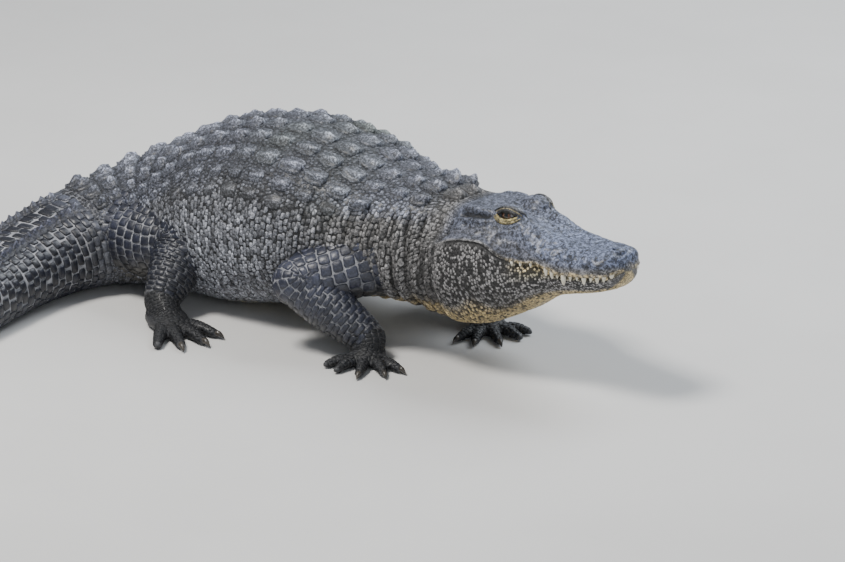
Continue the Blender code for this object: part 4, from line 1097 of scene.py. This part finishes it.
class Look:
    # a material with its Principled shader, and one way to add nodes
    def __init__(self, name, **fixed):
        self.material = bpy.data.materials.new(name)
        self.material.use_nodes = True
        self.tree = self.material.node_tree
        self.shader = self.tree.nodes["Principled BSDF"]
        for label, value in fixed.items():
            self.shader.inputs[label.replace("_", " ")].default_value = value

    def link(self, value, socket):
        if isinstance(value, Wire):
            self.tree.links.new(value.socket, socket)
        else:
            socket.default_value = value

    def node(self, kind, settings=None, inputs=None):
        made = self.tree.nodes.new(kind)
        for key, value in (settings or {}).items():
            setattr(made, key, value)
        for key, value in (inputs or {}).items():
            self.link(value, made.inputs[key])
        return [Wire(self, socket) for socket in made.outputs if socket.enabled]

    def place(self):
        return self.node("ShaderNodeTexCoord")[3]

    def noise(self, scale, detail=3.0, rough=0.6):
        inputs = {"Vector": self.place(), "Scale": scale, "Detail": detail, "Roughness": rough}
        return self.node("ShaderNodeTexNoise", None, inputs)[0]

    def voronoi(self, scale, feature="F1"):
        return self.node("ShaderNodeTexVoronoi", {"feature": feature}, {"Vector": self.place(), "Scale": scale})

    def attribute(self, label):
        return self.node("ShaderNodeAttribute", {"attribute_name": label})

    def mix(self, a, b, factor, blend="MIX"):
        made = self.tree.nodes.new("ShaderNodeMix")
        made.data_type, made.blend_type = "RGBA", blend
        for value, socket in ((factor, made.inputs[0]), (a, made.inputs[6]), (b, made.inputs[7])):
            self.link(value, socket)
        return Wire(self, made.outputs[2])

    def scaled(self, colour, amount):
        return self.node("ShaderNodeVectorMath", {"operation": "SCALE"}, {0: colour, "Scale": amount})[0]

    def bump(self, height, strength, distance, normal=None):
        inputs = {"Height": height, "Strength": strength, "Distance": distance}
        if normal:
            inputs["Normal"] = normal
        return self.node("ShaderNodeBump", None, inputs)[0]

    def set(self, **given):
        for label, value in given.items():
            self.link(value, self.shader.inputs[label.replace("_", " ")])
        return self.material


def skinLook():
    look = Look("wetHide", Coat_Roughness=0.24)
    shade, grain = look.attribute("shade")[0], look.attribute("grain")[2]
    pale = look.attribute("pale")[2]
    cell, edge = look.voronoi(230.0), look.voronoi(230.0, "DISTANCE_TO_EDGE")[0]
    tone = look.node("ShaderNodeSeparateColor", None, {"Color": cell[1]})[0]
    fine, mid, broad = look.noise(520.0, 4.0), look.noise(210.0, 5.0, 0.7), look.noise(46.0, 5.0)
    crack = 1.0 - edge.between(0.02, 0.16)
    flecks, blotch = mid.between(0.43, 0.58), broad.between(0.32, 0.68)
    smooth = 1.0 - grain
    pits = look.noise(104.0, 4.0, 0.65).between(0.37, 0.53)
    bare = (0.16 + 1.10 * flecks + 0.22 * blotch) * (0.30 + 0.80 * pits)
    pebbled = (0.62 + 0.6 * blotch + (tone - 0.5) * 0.9) * (1.0 - 0.7 * crack)
    colour = look.scaled(shade, (bare * smooth + pebbled * grain) * (0.74 + 0.52 * fine))
    lattice = look.mix((0.20, 0.205, 0.23, 1), (0.42, 0.425, 0.45, 1), broad.between(0.3, 0.7))
    lattice = look.scaled(lattice, 0.7 + 0.6 * fine)
    colour = look.mix(colour, lattice, pale)
    bump = look.bump(edge.between(0.0, 0.30) * grain, 0.8, 0.0012)
    bump = look.bump(mid * smooth, 0.75, 0.0022, bump)
    bump = look.bump(pits * smooth, 0.60, 0.0020, bump)
    bump = look.bump(fine, 0.35, 0.0007, bump)
    rough = 0.38 + 0.22 * broad + 0.10 * fine
    return look.set(Base_Color=colour, Roughness=rough, Coat_Weight=0.20 * (1.0 - pale), Normal=bump)


def scaleLook(name, rimLight, low, rough, coat, fleck, rugged):
    # low: how dark the foot of a scale is against its top, a painted shade at the foot where it meets the skin
    look = Look(name, Coat_Roughness=0.24)
    shade, rim, lift = look.attribute("shade")[0], look.attribute("rim")[2], look.attribute("lift")[2]
    fine, mid, broad = look.noise(560.0, 4.0), look.noise(240.0, 5.0, 0.7), look.noise(70.0, 4.0)
    flecks, edge = mid.between(0.44, 0.64), rim.between(0.78, 0.98)
    tone = (1.0 - fleck * 0.62 + fleck * 1.25 * flecks) * (0.66 + 0.68 * broad) * (0.78 + 0.44 * fine)
    # painted shade: each scale darkens from its top down to its foot, by its lift
    colour = look.scaled(shade, tone * (low + (1.0 - low) * lift.between(0.0, 1.0)) * (1.0 + rimLight * edge))
    bump = look.bump(mid, rugged, 0.0024)
    bump = look.bump(fine, 0.35, 0.0007, bump)
    return look.set(Base_Color=colour, Roughness=rough + 0.24 * broad, Coat_Weight=coat, Normal=bump)


def eyeLook():
    look = Look("alligatorEye", Coat_Weight=1.0, Coat_Roughness=0.02, Specular_IOR_Level=0.6, Roughness=0.25)
    gaze = look.attribute("gaze")[1]
    parts = look.node("ShaderNodeSeparateXYZ", None, {"Vector": gaze})
    ahead, above = parts[0], parts[1]
    ring = (ahead * ahead + above * above) ** 0.5
    rays = look.node("ShaderNodeTexNoise", None, {"Vector": gaze, "Scale": 9.0, "Detail": 6.0})[0]
    slit = ((ahead * 4.2) ** 2.0 + (above * 1.4) ** 2.0) ** 0.5
    iris = look.mix((0.030, 0.012, 0.007, 1), (0.105, 0.042, 0.018, 1), rays.between(0.35, 0.7))
    iris = look.mix(iris, (0.018, 0.010, 0.007, 1), ring.between(0.36, 0.66))
    colour = look.mix((0.002, 0.002, 0.002, 1), iris, slit.between(0.80, 1.0))
    return look.set(Base_Color=colour)


def plainLook(name, low, high, scale, rough, coat):
    look = Look(name, Coat_Weight=coat)
    spread = look.noise(scale, 5.0)
    colour, bump = look.mix(low, high, spread.between(0.3, 0.7)), look.bump(spread, 0.2, 0.0008)
    return look.set(Base_Color=colour, Roughness=rough + 0.15 * spread, Normal=bump)


# Scales: light on the rim, painted shade at the foot against the top, roughness, wet coat, flecks and bumps
scaleLooks = {
    "backPlate": {"rimLight": 0.10, "low": 0.12, "rough": 0.36, "coat": 0.20, "fleck": 1.15, "rugged": 1.0},
    "flankScale": {"rimLight": 0.0, "low": 0.30, "rough": 0.44, "coat": 0.10, "fleck": 0.9, "rugged": 0.6},
    "scaleHide": {"rimLight": 0.25, "low": 0.50, "rough": 0.27, "coat": 0.24, "fleck": 0.60, "rugged": 0.45},
    "footScale": {"rimLight": 0.0, "low": 0.50, "rough": 0.50, "coat": 0.04, "fleck": 0.60, "rugged": 0.35},
    "jowlScale": {"rimLight": 0.0, "low": 0.45, "rough": 0.42, "coat": 0.12, "fleck": 0.5, "rugged": 0.3},
}
plainLooks = {
    "ivory": {"low": (0.62, 0.56, 0.42, 1), "high": (0.80, 0.77, 0.66, 1), "scale": 160.0, "rough": 0.22,
              "coat": 0.3},
    "darkHorn": {"low": (0.018, 0.016, 0.015, 1), "high": (0.075, 0.066, 0.055, 1), "scale": 120.0,
                 "rough": 0.28, "coat": 0.2},
    "paleFloor": {"low": (0.60, 0.595, 0.585, 1), "high": (0.64, 0.635, 0.625, 1), "scale": 1.2,
                  "rough": 0.62, "coat": 0.0},
}
hideLook, irisLook = skinLook(), eyeLook()
backLook, flankLook, plateLook, footLook, jowlLook = (
    scaleLook(name, **look) for name, look in scaleLooks.items())
toothLook, clawLook, floorLook = (plainLook(name, **look) for name, look in plainLooks.items())
print("looks made")


def bothSides(*parts):
    return [part + side for part in parts for side in ("_left", "_right")]


fleshNodes = ["head", "lower_jaw", "neck", "torso", "tail_1", "tail_2", "tail_3", "tail_4"]
fleshNodes += bothSides("upper_arm", "forearm", "hand", "thigh", "shank", "foot")


def handIn(piece, slot, *nodes):
    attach(piece, "root")
    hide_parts(*nodes)


def tubePlace(tube, along):
    # 0 on the upper limb, rising to 1 on the foot
    if tube["part"] == "limb":
        return 0.6 * ease(tube["bendAt"] - 0.02, tube["along"][-1], along)
    return np.ones(np.shape(along))


def nearest(cloud, points):
    # index of the cloud's place that is nearest to each point
    tree = KDTree(len(cloud))
    for i, p in enumerate(cloud.tolist()):
        tree.insert(p, i)
    tree.balance()
    return np.array([tree.find(p)[1] for p in points.tolist()])


def layUnwrap(obj, corners):
    obj.data.uv_layers.new(name="OFBake").data.foreach_set("uv", corners.astype(np.float32).ravel())


# The skin's own attributes: colour, grain, lattice and the unwrap, found from the nearest point of a sheet
def skinAttributes():
    points = placesOf(skin)
    onBody = nearest(trunkPlaces.reshape(-1, 3), points)
    bodyFlat = np.column_stack([trunkX.ravel(), trunkShares.ravel()])[onBody]
    onLeg = nearest(np.concatenate([t["places"].reshape(-1, 3) for t in tubes]), points)
    legX, legY, legIndex, legWay, legDown = (np.concatenate(values)[onLeg] for values in zip(*(
        (t["x"].ravel(), t["y"].ravel(), np.full(t["x"].size, t["index"]),
         tubePlace(t, t["along"]).repeat(t["x"].shape[1]), -t["normals"][:, :, 2].ravel()) for t in tubes)))
    s, t = bodyFlat.T
    fromTrunk = np.array([trunkTree.find_nearest(p, 0.5)[3] or 0.0 for p in points.tolist()])
    onLimb, down = ease(0.001, 0.014, fromTrunk), ease(0.1, 0.8, legDown)
    shade = darker(trunkShade(points, s, t), onLimb)
    shade += legShade(points, legIndex < 2, down, legWay) * onLimb[:, None]
    t = np.abs(t)
    grain = ease(0.56, 0.60, t) * fall(0.30, 0.42, s) + ease(0.345, 0.42, s) * (1 - 0.5 * ease(1.30, 1.42, s))
    grain = grain * (1 - onLimb) + 0.9 * onLimb
    # painted shade on the skin between the scales of trunk and jowl, a pale lattice between those of tail and legs
    gapShade = band(s, 0.37, 0.41, 1.24, 1.40) * (1 - onLimb)
    jowl = band(t, 0.582, 0.60, 0.80, 0.90) * band(s, 0.022, 0.050, 0.37, 0.41)
    shade = darker(shade, 0.86 * gapShade + 0.62 * jowl)
    pale = 0.9 * band(s, 1.24, 1.42, 2.64, 2.70) * (1 - 0.8 * ease(0.80, 0.92, t)) * (1 - onLimb)
    pale += (0.85 - 0.75 * legWay) * onLimb * (1 - down)
    for label, values in (("shade", shade), ("grain", grain), ("pale", pale)):
        store(skin, label, values)
    flat = np.column_stack([s, t * np.sign(bodyFlat[:, 1] + 1e-9)])
    flat = np.where((onLimb > 0.5)[:, None], np.column_stack([legX, legY]), flat)
    corners = np.empty(len(skin.data.loops), int)
    skin.data.loops.foreach_get("vertex_index", corners)
    spread = atlas(flat[:, 0], flat[:, 1])[corners]
    for polygon in skin.data.polygons:
        span = slice(polygon.loop_start, polygon.loop_start + polygon.loop_total)
        if np.ptp(spread[span], axis=0).max() > 0.05:
            spread[span] = spread[polygon.loop_start]
    for layer in list(skin.data.uv_layers):
        skin.data.uv_layers.remove(layer)
    layUnwrap(skin, spread)


skinAttributes()
skin.vertex_groups.clear()
skin.data.materials.clear()
skin.data.materials.append(hideLook)
for polygon in smoothed(skin).data.polygons:
    polygon.material_index = 0
handIn(skin, "hide", *fleshNodes)
print("skin dressed:", triangleCount(skin), "triangles")


def trunkScales(name, coat, rows, tall=None):
    # each row: x, y, length and width on the sheet, and its height where tall isn't given
    places, buried = onTrunk(rows[:, 0], rows[:, 1])
    good = ~buried
    if "keep" in coat:
        good &= coat["keep"](rows[:, 0], rows[:, 1])
    x, y, length, width = rows[good, :4].T
    rng = np.random.default_rng(coat["seed"])
    grow = rng.uniform(0.94, 1.06, len(x))
    if tall is None:
        tall = rows[good, 4]
    elif callable(tall):
        tall = tall(x)
    tall = tall * rng.uniform(0.85, 1.15, len(x))
    shade = trunkShade(places[good], x, y)
    if "tones" in coat:
        shade = coat["tones"](shade, x, y, rng)
    shade = shade * rng.uniform(1 - coat["vary"], 1 + coat["vary"], len(x))[:, None]
    sizes = np.column_stack([length * grow, width * grow, tall])
    sheet = coat.get("sheet", trunkSheet)
    made = layScales(name, sheet, coat["shapes"], coat["look"], x, y, sizes, shade, coat["seed"])
    handIn(made, coat["slot"], *coat["nodes"])


# Plates down the back, wider in the middle of the trunk, smaller towards the flank
plateRules = {"large": 3, "shrink": 0.80, "long": 1.04, "wide": 0.90, "tall": 1.25, "lowShare": 0.6}
backPlates = {"shapes": plates, "look": backLook, "slot": "scute", "nodes": ["neck", "torso"],
              "vary": 0.16, "seed": 5}
sidePlates = {**backPlates, "shapes": lowPlates, "vary": 0.18, "seed": 6}
# Station of each row, plates on a side, and their pitch, length and height
scuteRows = (
    (0.418, 1, 0.046, 0.044, 0.0160), (0.470, 2, 0.046, 0.046, 0.0180), (0.524, 2, 0.046, 0.044, 0.0150),
    (0.588, 3, 0.047, 0.044, 0.0130), (0.640, 4, 0.047, 0.045, 0.0130), (0.692, 4, 0.048, 0.046, 0.0130),
    (0.744, 5, 0.049, 0.046, 0.0130), (0.796, 5, 0.050, 0.046, 0.0130), (0.848, 5, 0.050, 0.046, 0.0130),
    (0.900, 5, 0.050, 0.046, 0.0130), (0.952, 5, 0.049, 0.046, 0.0130), (1.004, 5, 0.048, 0.046, 0.0130),
    (1.056, 4, 0.046, 0.045, 0.0130), (1.106, 4, 0.043, 0.043, 0.0130), (1.154, 3, 0.042, 0.042, 0.0140),
    (1.202, 3, 0.041, 0.042, 0.0150), (1.250, 2, 0.039, 0.041, 0.0160), (1.298, 2, 0.037, 0.040, 0.0170),
)
largeRows, smallRows = [], []
for station, count, pitch, length, height in scuteRows:
    whole, large, shrink = halfLength(station), plateRules["large"], plateRules["shrink"]
    length, width, height = length * plateRules["long"], pitch * plateRules["wide"], height * plateRules["tall"]
    lowHeight = height * plateRules["lowShare"]
    for side in (-1, 1):
        for k in range(min(count, large)):
            largeRows.append((station, side * (k + 0.5) * pitch / whole, length, width / whole, height))
        for k in range(count - large):
            y = side * (large * pitch + (k + 0.5) * pitch * shrink) / whole
            smallRows.append((station, y, length * shrink, width * shrink / whole, lowHeight))
trunkScales("backPlates", backPlates, np.array(largeRows))
trunkScales("sidePlates", sidePlates, np.array(smallRows))
plateEdge = ((0.40, 0.05), (0.44, 0.10), (0.58, 0.12), (0.66, 0.175), (0.74, 0.222), (1.02, 0.222),
             (1.10, 0.165), (1.25, 0.10), (1.33, 0.075))


def pastPlates(x, y):
    # how far, in metres, a place lies outside the rows of plates
    return np.abs(y) * np.interp(x, stations, halfLengths) - np.interp(x, *zip(*plateEdge))


def mottled(shade, x, y, rng):
    stripesAndGapShade = 1 + 0.30 * np.sin(2 * np.pi * x / 0.031 + 3.0 * np.sin(y * 9)) * (np.abs(y) > 0.25)
    past = pastPlates(x, y)
    # painted shade: darker towards the back plates and darkest in the gaps between them; the stripes and random
    # tones are the hide's own
    stripesAndGapShade *= 0.24 + 0.48 * ease(-0.060, 0.0, past) + 0.28 * ease(0.0, 0.060, past)
    return shade * (stripesAndGapShade * rng.choice([0.62, 1.0, 1.25], len(x), p=[0.25, 0.5, 0.25]))[:, None]


def pebbled(shade, x, y, rng):
    dark = rng.random(len(x)) < np.clip(0.44 - 1.6 * (np.abs(y) - 0.74), 0.05, 0.44)
    return np.where(dark[:, None], shade * 0.12, shade * (2.3 - 1.3 * ease(0.76, 0.84, np.abs(y)))[:, None])


# Coats laid in rows: stations, a scale's length and width, bands of the sheet with their seeds, and its height
tailNodes = ["tail_1", "tail_2", "tail_3", "tail_4"]
rowCoats = {
    "flankScales": {
        "shapes": slabs, "look": flankLook, "slot": "hide", "nodes": ["neck", "torso"],
        "vary": 0.15, "jitter": 0.20, "seed": 7, "from": 0.372, "to": 1.36,
        "long": ((0.37, 0.0066), (0.50, 0.0082), (1.36, 0.0092)),
        "wide": ((0.37, 0.0090), (0.50, 0.0128), (1.36, 0.0138)),
        "bands": ((-0.86, -0.14, 10), (0.14, 0.86, 12)),
        "tall": lambda x: 0.0011 + 0.0006 * ease(0.40, 0.55, x),
        "tones": mottled, "keep": lambda x, y: pastPlates(x, y) > 0,
    },
    "bellyScales": {
        "shapes": cells, "look": plateLook, "slot": "hide", "nodes": ["torso"],
        "vary": 0.10, "jitter": 0.12, "seed": 8, "from": 0.50, "to": 1.36, "long": 0.022, "wide": 0.019,
        "bands": ((-0.998, -0.863, 21), (0.863, 0.998, 21)), "tall": 0.0010,
    },
    "gapScales": {
        "shapes": granules, "look": flankLook, "slot": "hide", "nodes": ["neck", "torso"],
        "vary": 0.30, "jitter": 0.28, "seed": 9, "from": 0.372, "to": 1.36, "long": 0.0092, "wide": 0.0088,
        "bands": ((-0.36, 0.36, 31),), "tall": 0.0012,
        "tones": mottled, "keep": lambda x, y: pastPlates(x, y) <= 0,
    },
    "jawScales": {
        "shapes": granules, "look": jowlLook, "slot": "jaw_hide", "nodes": ["lower_jaw"],
        "vary": 0.35, "jitter": 0.32, "seed": 10, "from": 0.026, "to": 0.400, "long": 0.0047, "wide": 0.0047,
        "bands": ((-0.972, -0.588, 41), (0.588, 0.972, 41)),
        "tall": lambda x: 0.0006 + 0.0006 * ease(0.1, 0.3, x), "tones": pebbled,
    },
    # large scales, with a pale lattice of bare skin left between them
    "tailScales": {
        "shapes": cells, "look": plateLook, "slot": "hide", "nodes": ["torso"] + tailNodes,
        "vary": 0.35, "jitter": 0.10, "seed": 12, "from": 1.335, "to": 2.71, "fit": (0.950, 0.940),
        "long": ((1.3, 0.0205), (2.0, 0.0203), (2.7, 0.0150)),
        "wide": ((1.3, 0.0265), (1.8, 0.0205), (2.7, 0.0100)), "bands": ((-0.90, 0.90, 51),),
        "tall": lambda x: np.interp(x, (1.3, 2.0, 2.7), (0.0030, 0.0024, 0.0012)),
    },
    "tailUnder": {
        "shapes": cells, "look": plateLook, "slot": "hide", "nodes": tailNodes,
        "vary": 0.15, "jitter": 0.12, "seed": 15, "from": 1.36, "to": 2.70, "long": 0.019, "wide": 0.017,
        "bands": ((-1.0, -0.90, 52), (0.90, 1.0, 52)), "tall": 0.0008,
    },
}
for name, coat in rowCoats.items():
    rows = np.concatenate([bricks(coat, *edges) for edges in coat["bands"]])
    rows[:, 2:] *= coat.get("fit", (1, 1))
    trunkScales(name, coat, rows, coat["tall"])

# The tail's crest: two rows that join into one, first of plates and then of blades
crest = {"start": 1.362, "end": 2.670, "singleFrom": 2.060, "bladesFrom": 1.66, "long": 1.02, "thick": 1.05,
         "pitch": ((1.36, 0.0212), (1.66, 0.0245), (1.90, 0.0340), (2.06, 0.0405)), "light": 6.5}
# Station, distance from the middle, length, height, thickness
crestSizes = (
    (1.36, 0.0330, 0.023, 0.019, 0.028), (1.70, 0.0240, 0.027, 0.023, 0.022),
    (1.90, 0.0160, 0.035, 0.027, 0.019), (2.04, 0.0110, 0.040, 0.029, 0.018),
    (2.08, 0.0000, 0.040, 0.031, 0.018), (2.40, 0.0000, 0.037, 0.024, 0.012),
    (2.67, 0.0000, 0.032, 0.012, 0.008),
)
crestCoat = {"look": backLook, "slot": "scute", "nodes": tailNodes, "vary": 0.20, "seed": 13,
             "sheet": crestSheet, "tones": lambda shade, x, y, rng: shade * crest["light"]}
crestRows = []
station = crest["start"]
while station < crest["end"]:
    away, length, height, thick = curve(crestSizes, station)[0]
    whole = halfLength(station)
    length, width = length * crest["long"], thick * crest["thick"] / whole
    for side in (-1, 1) if station < crest["singleFrom"] else (0,):
        crestRows.append((station, side * away / whole, length, width, height))
    station += tabled(crest["pitch"], station)
crestRows = np.array(crestRows)
bladed = crestRows[:, 0] >= crest["bladesFrom"]
trunkScales("crestPlates", {**crestCoat, "shapes": plates}, crestRows[~bladed])
trunkScales("tailCrest", {**crestCoat, "shapes": blades}, crestRows[bladed])

# Legs: large square scales on the upper limb, shorter broad ones below it, single bands over the toes
legCoat = {
    "margin": 0.004, "hindShare": 0.86, "fit": 0.955, "seed": 61, "layerSeed": 14, "lowest": 0.0025,
    "limb": (0.0250, 0.0235, 0.0024), "limbPast": (-0.0130, 0.0040), "instep": (0.0085, 0.0120, 0.0014),
    "toe": (0.0080, 0.0180, 0.0015),
}
legRows, legPlaces, legTones = [], [], []
rng = np.random.default_rng(legCoat["seed"])
for tube in tubes:
    row, along, columns = 0, legCoat["margin"], tube["x"].shape[1]
    while along < tube["along"][-1] - legCoat["margin"]:
        long, wide, tall = legCoat[tube["part"]]
        if tube["part"] == "limb":
            past = float(ease(tube["bendAt"] + 0.01, tube["bendAt"] + 0.05, along))
            scale = 1.0 if tube["index"] < 2 else legCoat["hindShare"]
            long, wide = (scale * (size + more * past) for size, more in zip((long, wide), legCoat["limbPast"]))
        here = along + long / 2
        count = max(3, int(round(float(np.interp(here, tube["along"], tube["around"])) / wide)))
        r = min(int(np.searchsorted(tube["along"], here)), len(tube["along"]) - 1)
        for i in range(count):
            y = (2 * (i + 0.5 + 0.5 * (row % 2)) / count) % 2 - 1
            c = min(int((y + 1) / 2 * (columns - 1) + 0.5), columns - 1)
            place = tube["places"][r, c]
            if tube["buried"][r, c] or place[2] < legCoat["lowest"] or abs(y) > 1 - 0.45 / count:
                continue
            fit = legCoat["fit"] * rng.uniform(0.97, 1.02)
            flat = tubeRules["from"] + tube["index"] + here, y + tubeRules["partPitch"] * tube["slot"]
            legRows.append((*flat, long * fit, 2.0 / count * fit, tall))
            legPlaces.append(place)
            down = float(ease(0.1, 0.8, -tube["normals"][r, c, 2]))
            legTones.append((tube["index"] < 2, down, float(tubePlace(tube, here))))
        along, row = along + long, row + 1
legRows = np.array(legRows)
fore, down, footward = np.array(legTones).T
legColours = legShade(np.array(legPlaces), fore > 0.5, down, footward)
legColours *= rng.uniform(0.65, 1.35, len(legColours))[:, None]
onFeet = footward > 0.99
for name, look, picked, nodes in (
    ("legScales", plateLook, ~onFeet, bothSides("upper_arm", "forearm", "thigh", "shank")),
    ("footScales", footLook, onFeet, bothSides("hand", "foot")),
):
    x, y, *sizes = legRows[picked].T
    sizes = np.column_stack(sizes)
    coat = layScales(name, legSheet, cells, look, x, y, sizes, legColours[picked], legCoat["layerSeed"])
    handIn(coat, "hide", *nodes)

# Teeth hang from the upper lip: station and length
toothRows = (
    (0.023, 0.007), (0.033, 0.009), (0.044, 0.011), (0.056, 0.008), (0.070, 0.014),
    (0.085, 0.007), (0.099, 0.009), (0.114, 0.018), (0.128, 0.008), (0.140, 0.014),
    (0.153, 0.015), (0.186, 0.008), (0.206, 0.006), (0.222, 0.006),
)
toothRules = {"out": 0.0040, "sunk": 0.0030, "slimness": 0.42, "wider": 0.0026, "lean": 0.05, "halfSheet": 0.01}


def lipSheet():
    blocks = []
    where, columns = np.linspace(0.015, 0.26, 120), 5
    v = curve(headTable, where)
    out = v[:, 5] - lipInset(where) + toothRules["out"]
    across = np.linspace(-toothRules["halfSheet"], toothRules["halfSheet"], columns)
    for side in (-1, 1):
        places = [headPoint(where, side * out + a, v[:, 6] + toothRules["sunk"]) for a in across]
        down = np.tile(unit(headLeft * side * toothRules["lean"] - headUp), (len(where), columns, 1))
        x, y = np.repeat(where[:, None], columns, 1), np.tile(side + across, (len(where), 1))
        blocks.append((x, y, np.stack(places, axis=1), down))
    return sheetObject("lipSheet", blocks)


toothX, toothLength = np.array(toothRows * 2).T
toothSide = np.repeat([-1.0, 1.0], len(toothRows))
toothWide = toothLength * toothRules["slimness"] + toothRules["wider"]
toothSizes = np.column_stack([toothWide, toothWide, toothLength + toothRules["sunk"]])
toothShades = np.ones((len(toothX), 3))
teeth = layScales("teeth", lipSheet(), fangs, toothLook, toothX, toothSide, toothSizes, toothShades, 1)
handIn(teeth, "tooth", "head")

# Eyeballs
for side, label in ((-1, "right"), (1, "left")):
    centre, *axes = eyeFrame(side)
    ball = ballMesh("eye" + label.title(), centre, (eye["ball"],) * 3, axes, 40, 26)
    store(ball, "gaze", (placesOf(ball) - centre) @ np.array(axes).T / eye["ball"])
    closedUp(smoothed(ball)).data.materials.append(irisLook)
    handIn(ball, "eye", "eye_" + label)

# Each fold round an eye: how far out it runs, from and to which point of the outline, its thickness and colour
folds = {
    # upper: the lid's own dark colour, partly painted shadow under the brow
    "upper": {"grow": 1.02, "span": (0, 20), "sizes": (0.0016, 0.0034, 0.0040, 0.0034, 0.0016),
              "colour": (0.030, 0.030, 0.034)},
    "brow": {"grow": 1.42, "span": (1, 17), "sizes": (0.0008, 0.0016, 0.0021, 0.0018, 0.0008),
             "colour": (0.36, 0.31, 0.19)},
    "ridge": {"grow": 1.78, "span": (1, 18), "sizes": (0.0010, 0.0028, 0.0036, 0.0026, 0.0010),
              "colour": (0.105, 0.108, 0.120)},
    "lower": {"grow": 1.06, "span": (20, 40), "sizes": (0.0014, 0.0032, 0.0040, 0.0034, 0.0014),
              "colour": (0.50, 0.41, 0.18)},
    "pouch": {"grow": 1.44, "span": (22, 38), "sizes": (0.0010, 0.0028, 0.0034, 0.0026, 0.0010),
              "colour": (0.36, 0.30, 0.14)},
}
lidPieces, lidColours = [], []
for side, fold in ((side, fold) for side in (-1, 1) for fold in folds.values()):
    centre, ahead, above, outward = eyeFrame(side)
    path = []
    for k in range(fold["span"][0], fold["span"][1] + 1, 2):
        wide, rise = (values[k % opening["points"]] for values in almond(fold["grow"]))
        start = Vector(centre + ahead * wide + above * rise)
        place = uncutTree.ray_cast(start, Vector(outward), 0.05)[0] or uncutTree.find_nearest(start)[0]
        path.append(np.array(place) + outward * 0.0002)
    widths = np.interp(np.linspace(0, 4, len(path)), range(5), fold["sizes"])
    lidPieces.append(ringLoft("lid", limbRings(path, widths, 12, 40)))
    lidColours += [fold["colour"]] * len(lidPieces[-1].data.vertices)
lids = smoothed(joined("lids", lidPieces))
blotches = ease(0.05, 0.35, noiseAt(placesOf(lids), 230, 2.0))
store(lids, "shade", darker(np.array(lidColours), 0.75 * blotches))
store(lids, "grain", np.full(len(lidColours), 0.35))
store(lids, "pale", np.zeros(len(lidColours)))
layUnwrap(lids, np.tile(atlas([0.26], [0.3])[0], (len(lids.data.loops), 1)))
lids.data.materials.append(hideLook)
handIn(lids, "head_hide", "head")

# Claws on the inner toes: share of the claw's length, rise in metres, drop and width in shares of the toe's
clawRules = {"rootBack": 0.004, "rootHeight": 0.74,
             "steps": ((0, 0, 0, 0.52), (0.45, 0.0022, 0, 0.46), (0.8, 0, 0.10, 0.28), (1.05, 0, 0.42, 0.07))}
clawPieces = []
for leg in legs.values():
    sizes, middle, forward, left, toes = footPlan(leg)
    thick = sizes["thick"]
    for base, aim, length in toes[:sizes["claws"]]:
        tip = base + aim * (length - clawRules["rootBack"]) + upward * thick * clawRules["rootHeight"]
        path = [tip + aim * sizes["claw"] * along + upward * (rise - thick * drop)
                for along, rise, drop, wide in clawRules["steps"]]
        widths = [thick * step[3] for step in clawRules["steps"]]
        clawPieces.append(ringLoft("claw", limbRings(path, widths, 14, 16)))
claws = smoothed(joined("claws", clawPieces))
claws.data.materials.append(clawLook)
handIn(claws, "claw", *bothSides("hand", "foot"))
for group in (granules, cells, slabs, plates, lowPlates, blades, fangs):
    for shape in list(group.objects):
        bpy.data.objects.remove(shape)
    bpy.data.collections.remove(group)
for helper in ("trunkSheet", "crestSheet", "legSheet", "lipSheet"):
    bpy.data.objects.remove(bpy.data.objects[helper])
print("eyes, lids, teeth and claws in place")

# Floor, light and camera
floorEdge = 14
floorCorners = [(x * floorEdge, y * floorEdge, 0) for x, y in ((-1, -1), (1, -1), (1, 1), (-1, 1))]
floor = meshObject("floor", floorCorners, [(0, 1, 2, 3)])
floor.data.materials.append(floorLook)
studio = {"colour": (0.80, 0.86, 0.95, 1), "strength": 0.29, "aim": (0.4, 0, 0.15)}
lamps = {
    "key": {"place": (-0.6, -1.9, 4.6), "power": 285, "size": 1.3, "colour": (1.0, 0.97, 0.92)},
    "fill": {"place": (4.2, -3.0, 1.8), "power": 45, "size": 3.0, "colour": (0.92, 0.96, 1.0)},
    "sky": {"place": (0.9, 3.0, 3.4), "power": 210, "size": 3.0, "colour": (0.90, 0.95, 1.0)},
}
view = {"place": (5.63085, -5.94155, 2.97870), "azimuth": 41, "elevation": 20, "lens": 185.75, "far": 60}
world = bpy.data.worlds.new("studio")
bpy.context.scene.world = world
world.use_nodes = True
background = world.node_tree.nodes["Background"].inputs
background["Color"].default_value, background["Strength"].default_value = studio["colour"], studio["strength"]
for name, lamp in lamps.items():
    data = bpy.data.lights.new(name, "AREA")
    data.energy, data.size, data.color = lamp["power"], lamp["size"], lamp["colour"]
    light = inScene(name, data)
    light.location = lamp["place"]
    light.rotation_euler = (Vector(studio["aim"]) - light.location).to_track_quat("-Z", "Y").to_euler()
camera = inScene("camera", bpy.data.cameras.new("camera"))
turn, rise = math.radians(view["azimuth"]), math.radians(view["elevation"])
back = Vector((math.sin(turn) * math.cos(rise), -math.cos(turn) * math.cos(rise), math.sin(rise)))
camera.location, camera.rotation_euler = view["place"], back.to_track_quat("Z", "Y").to_euler()
camera.data.lens, camera.data.clip_end = view["lens"], view["far"]
bpy.context.scene.camera = camera
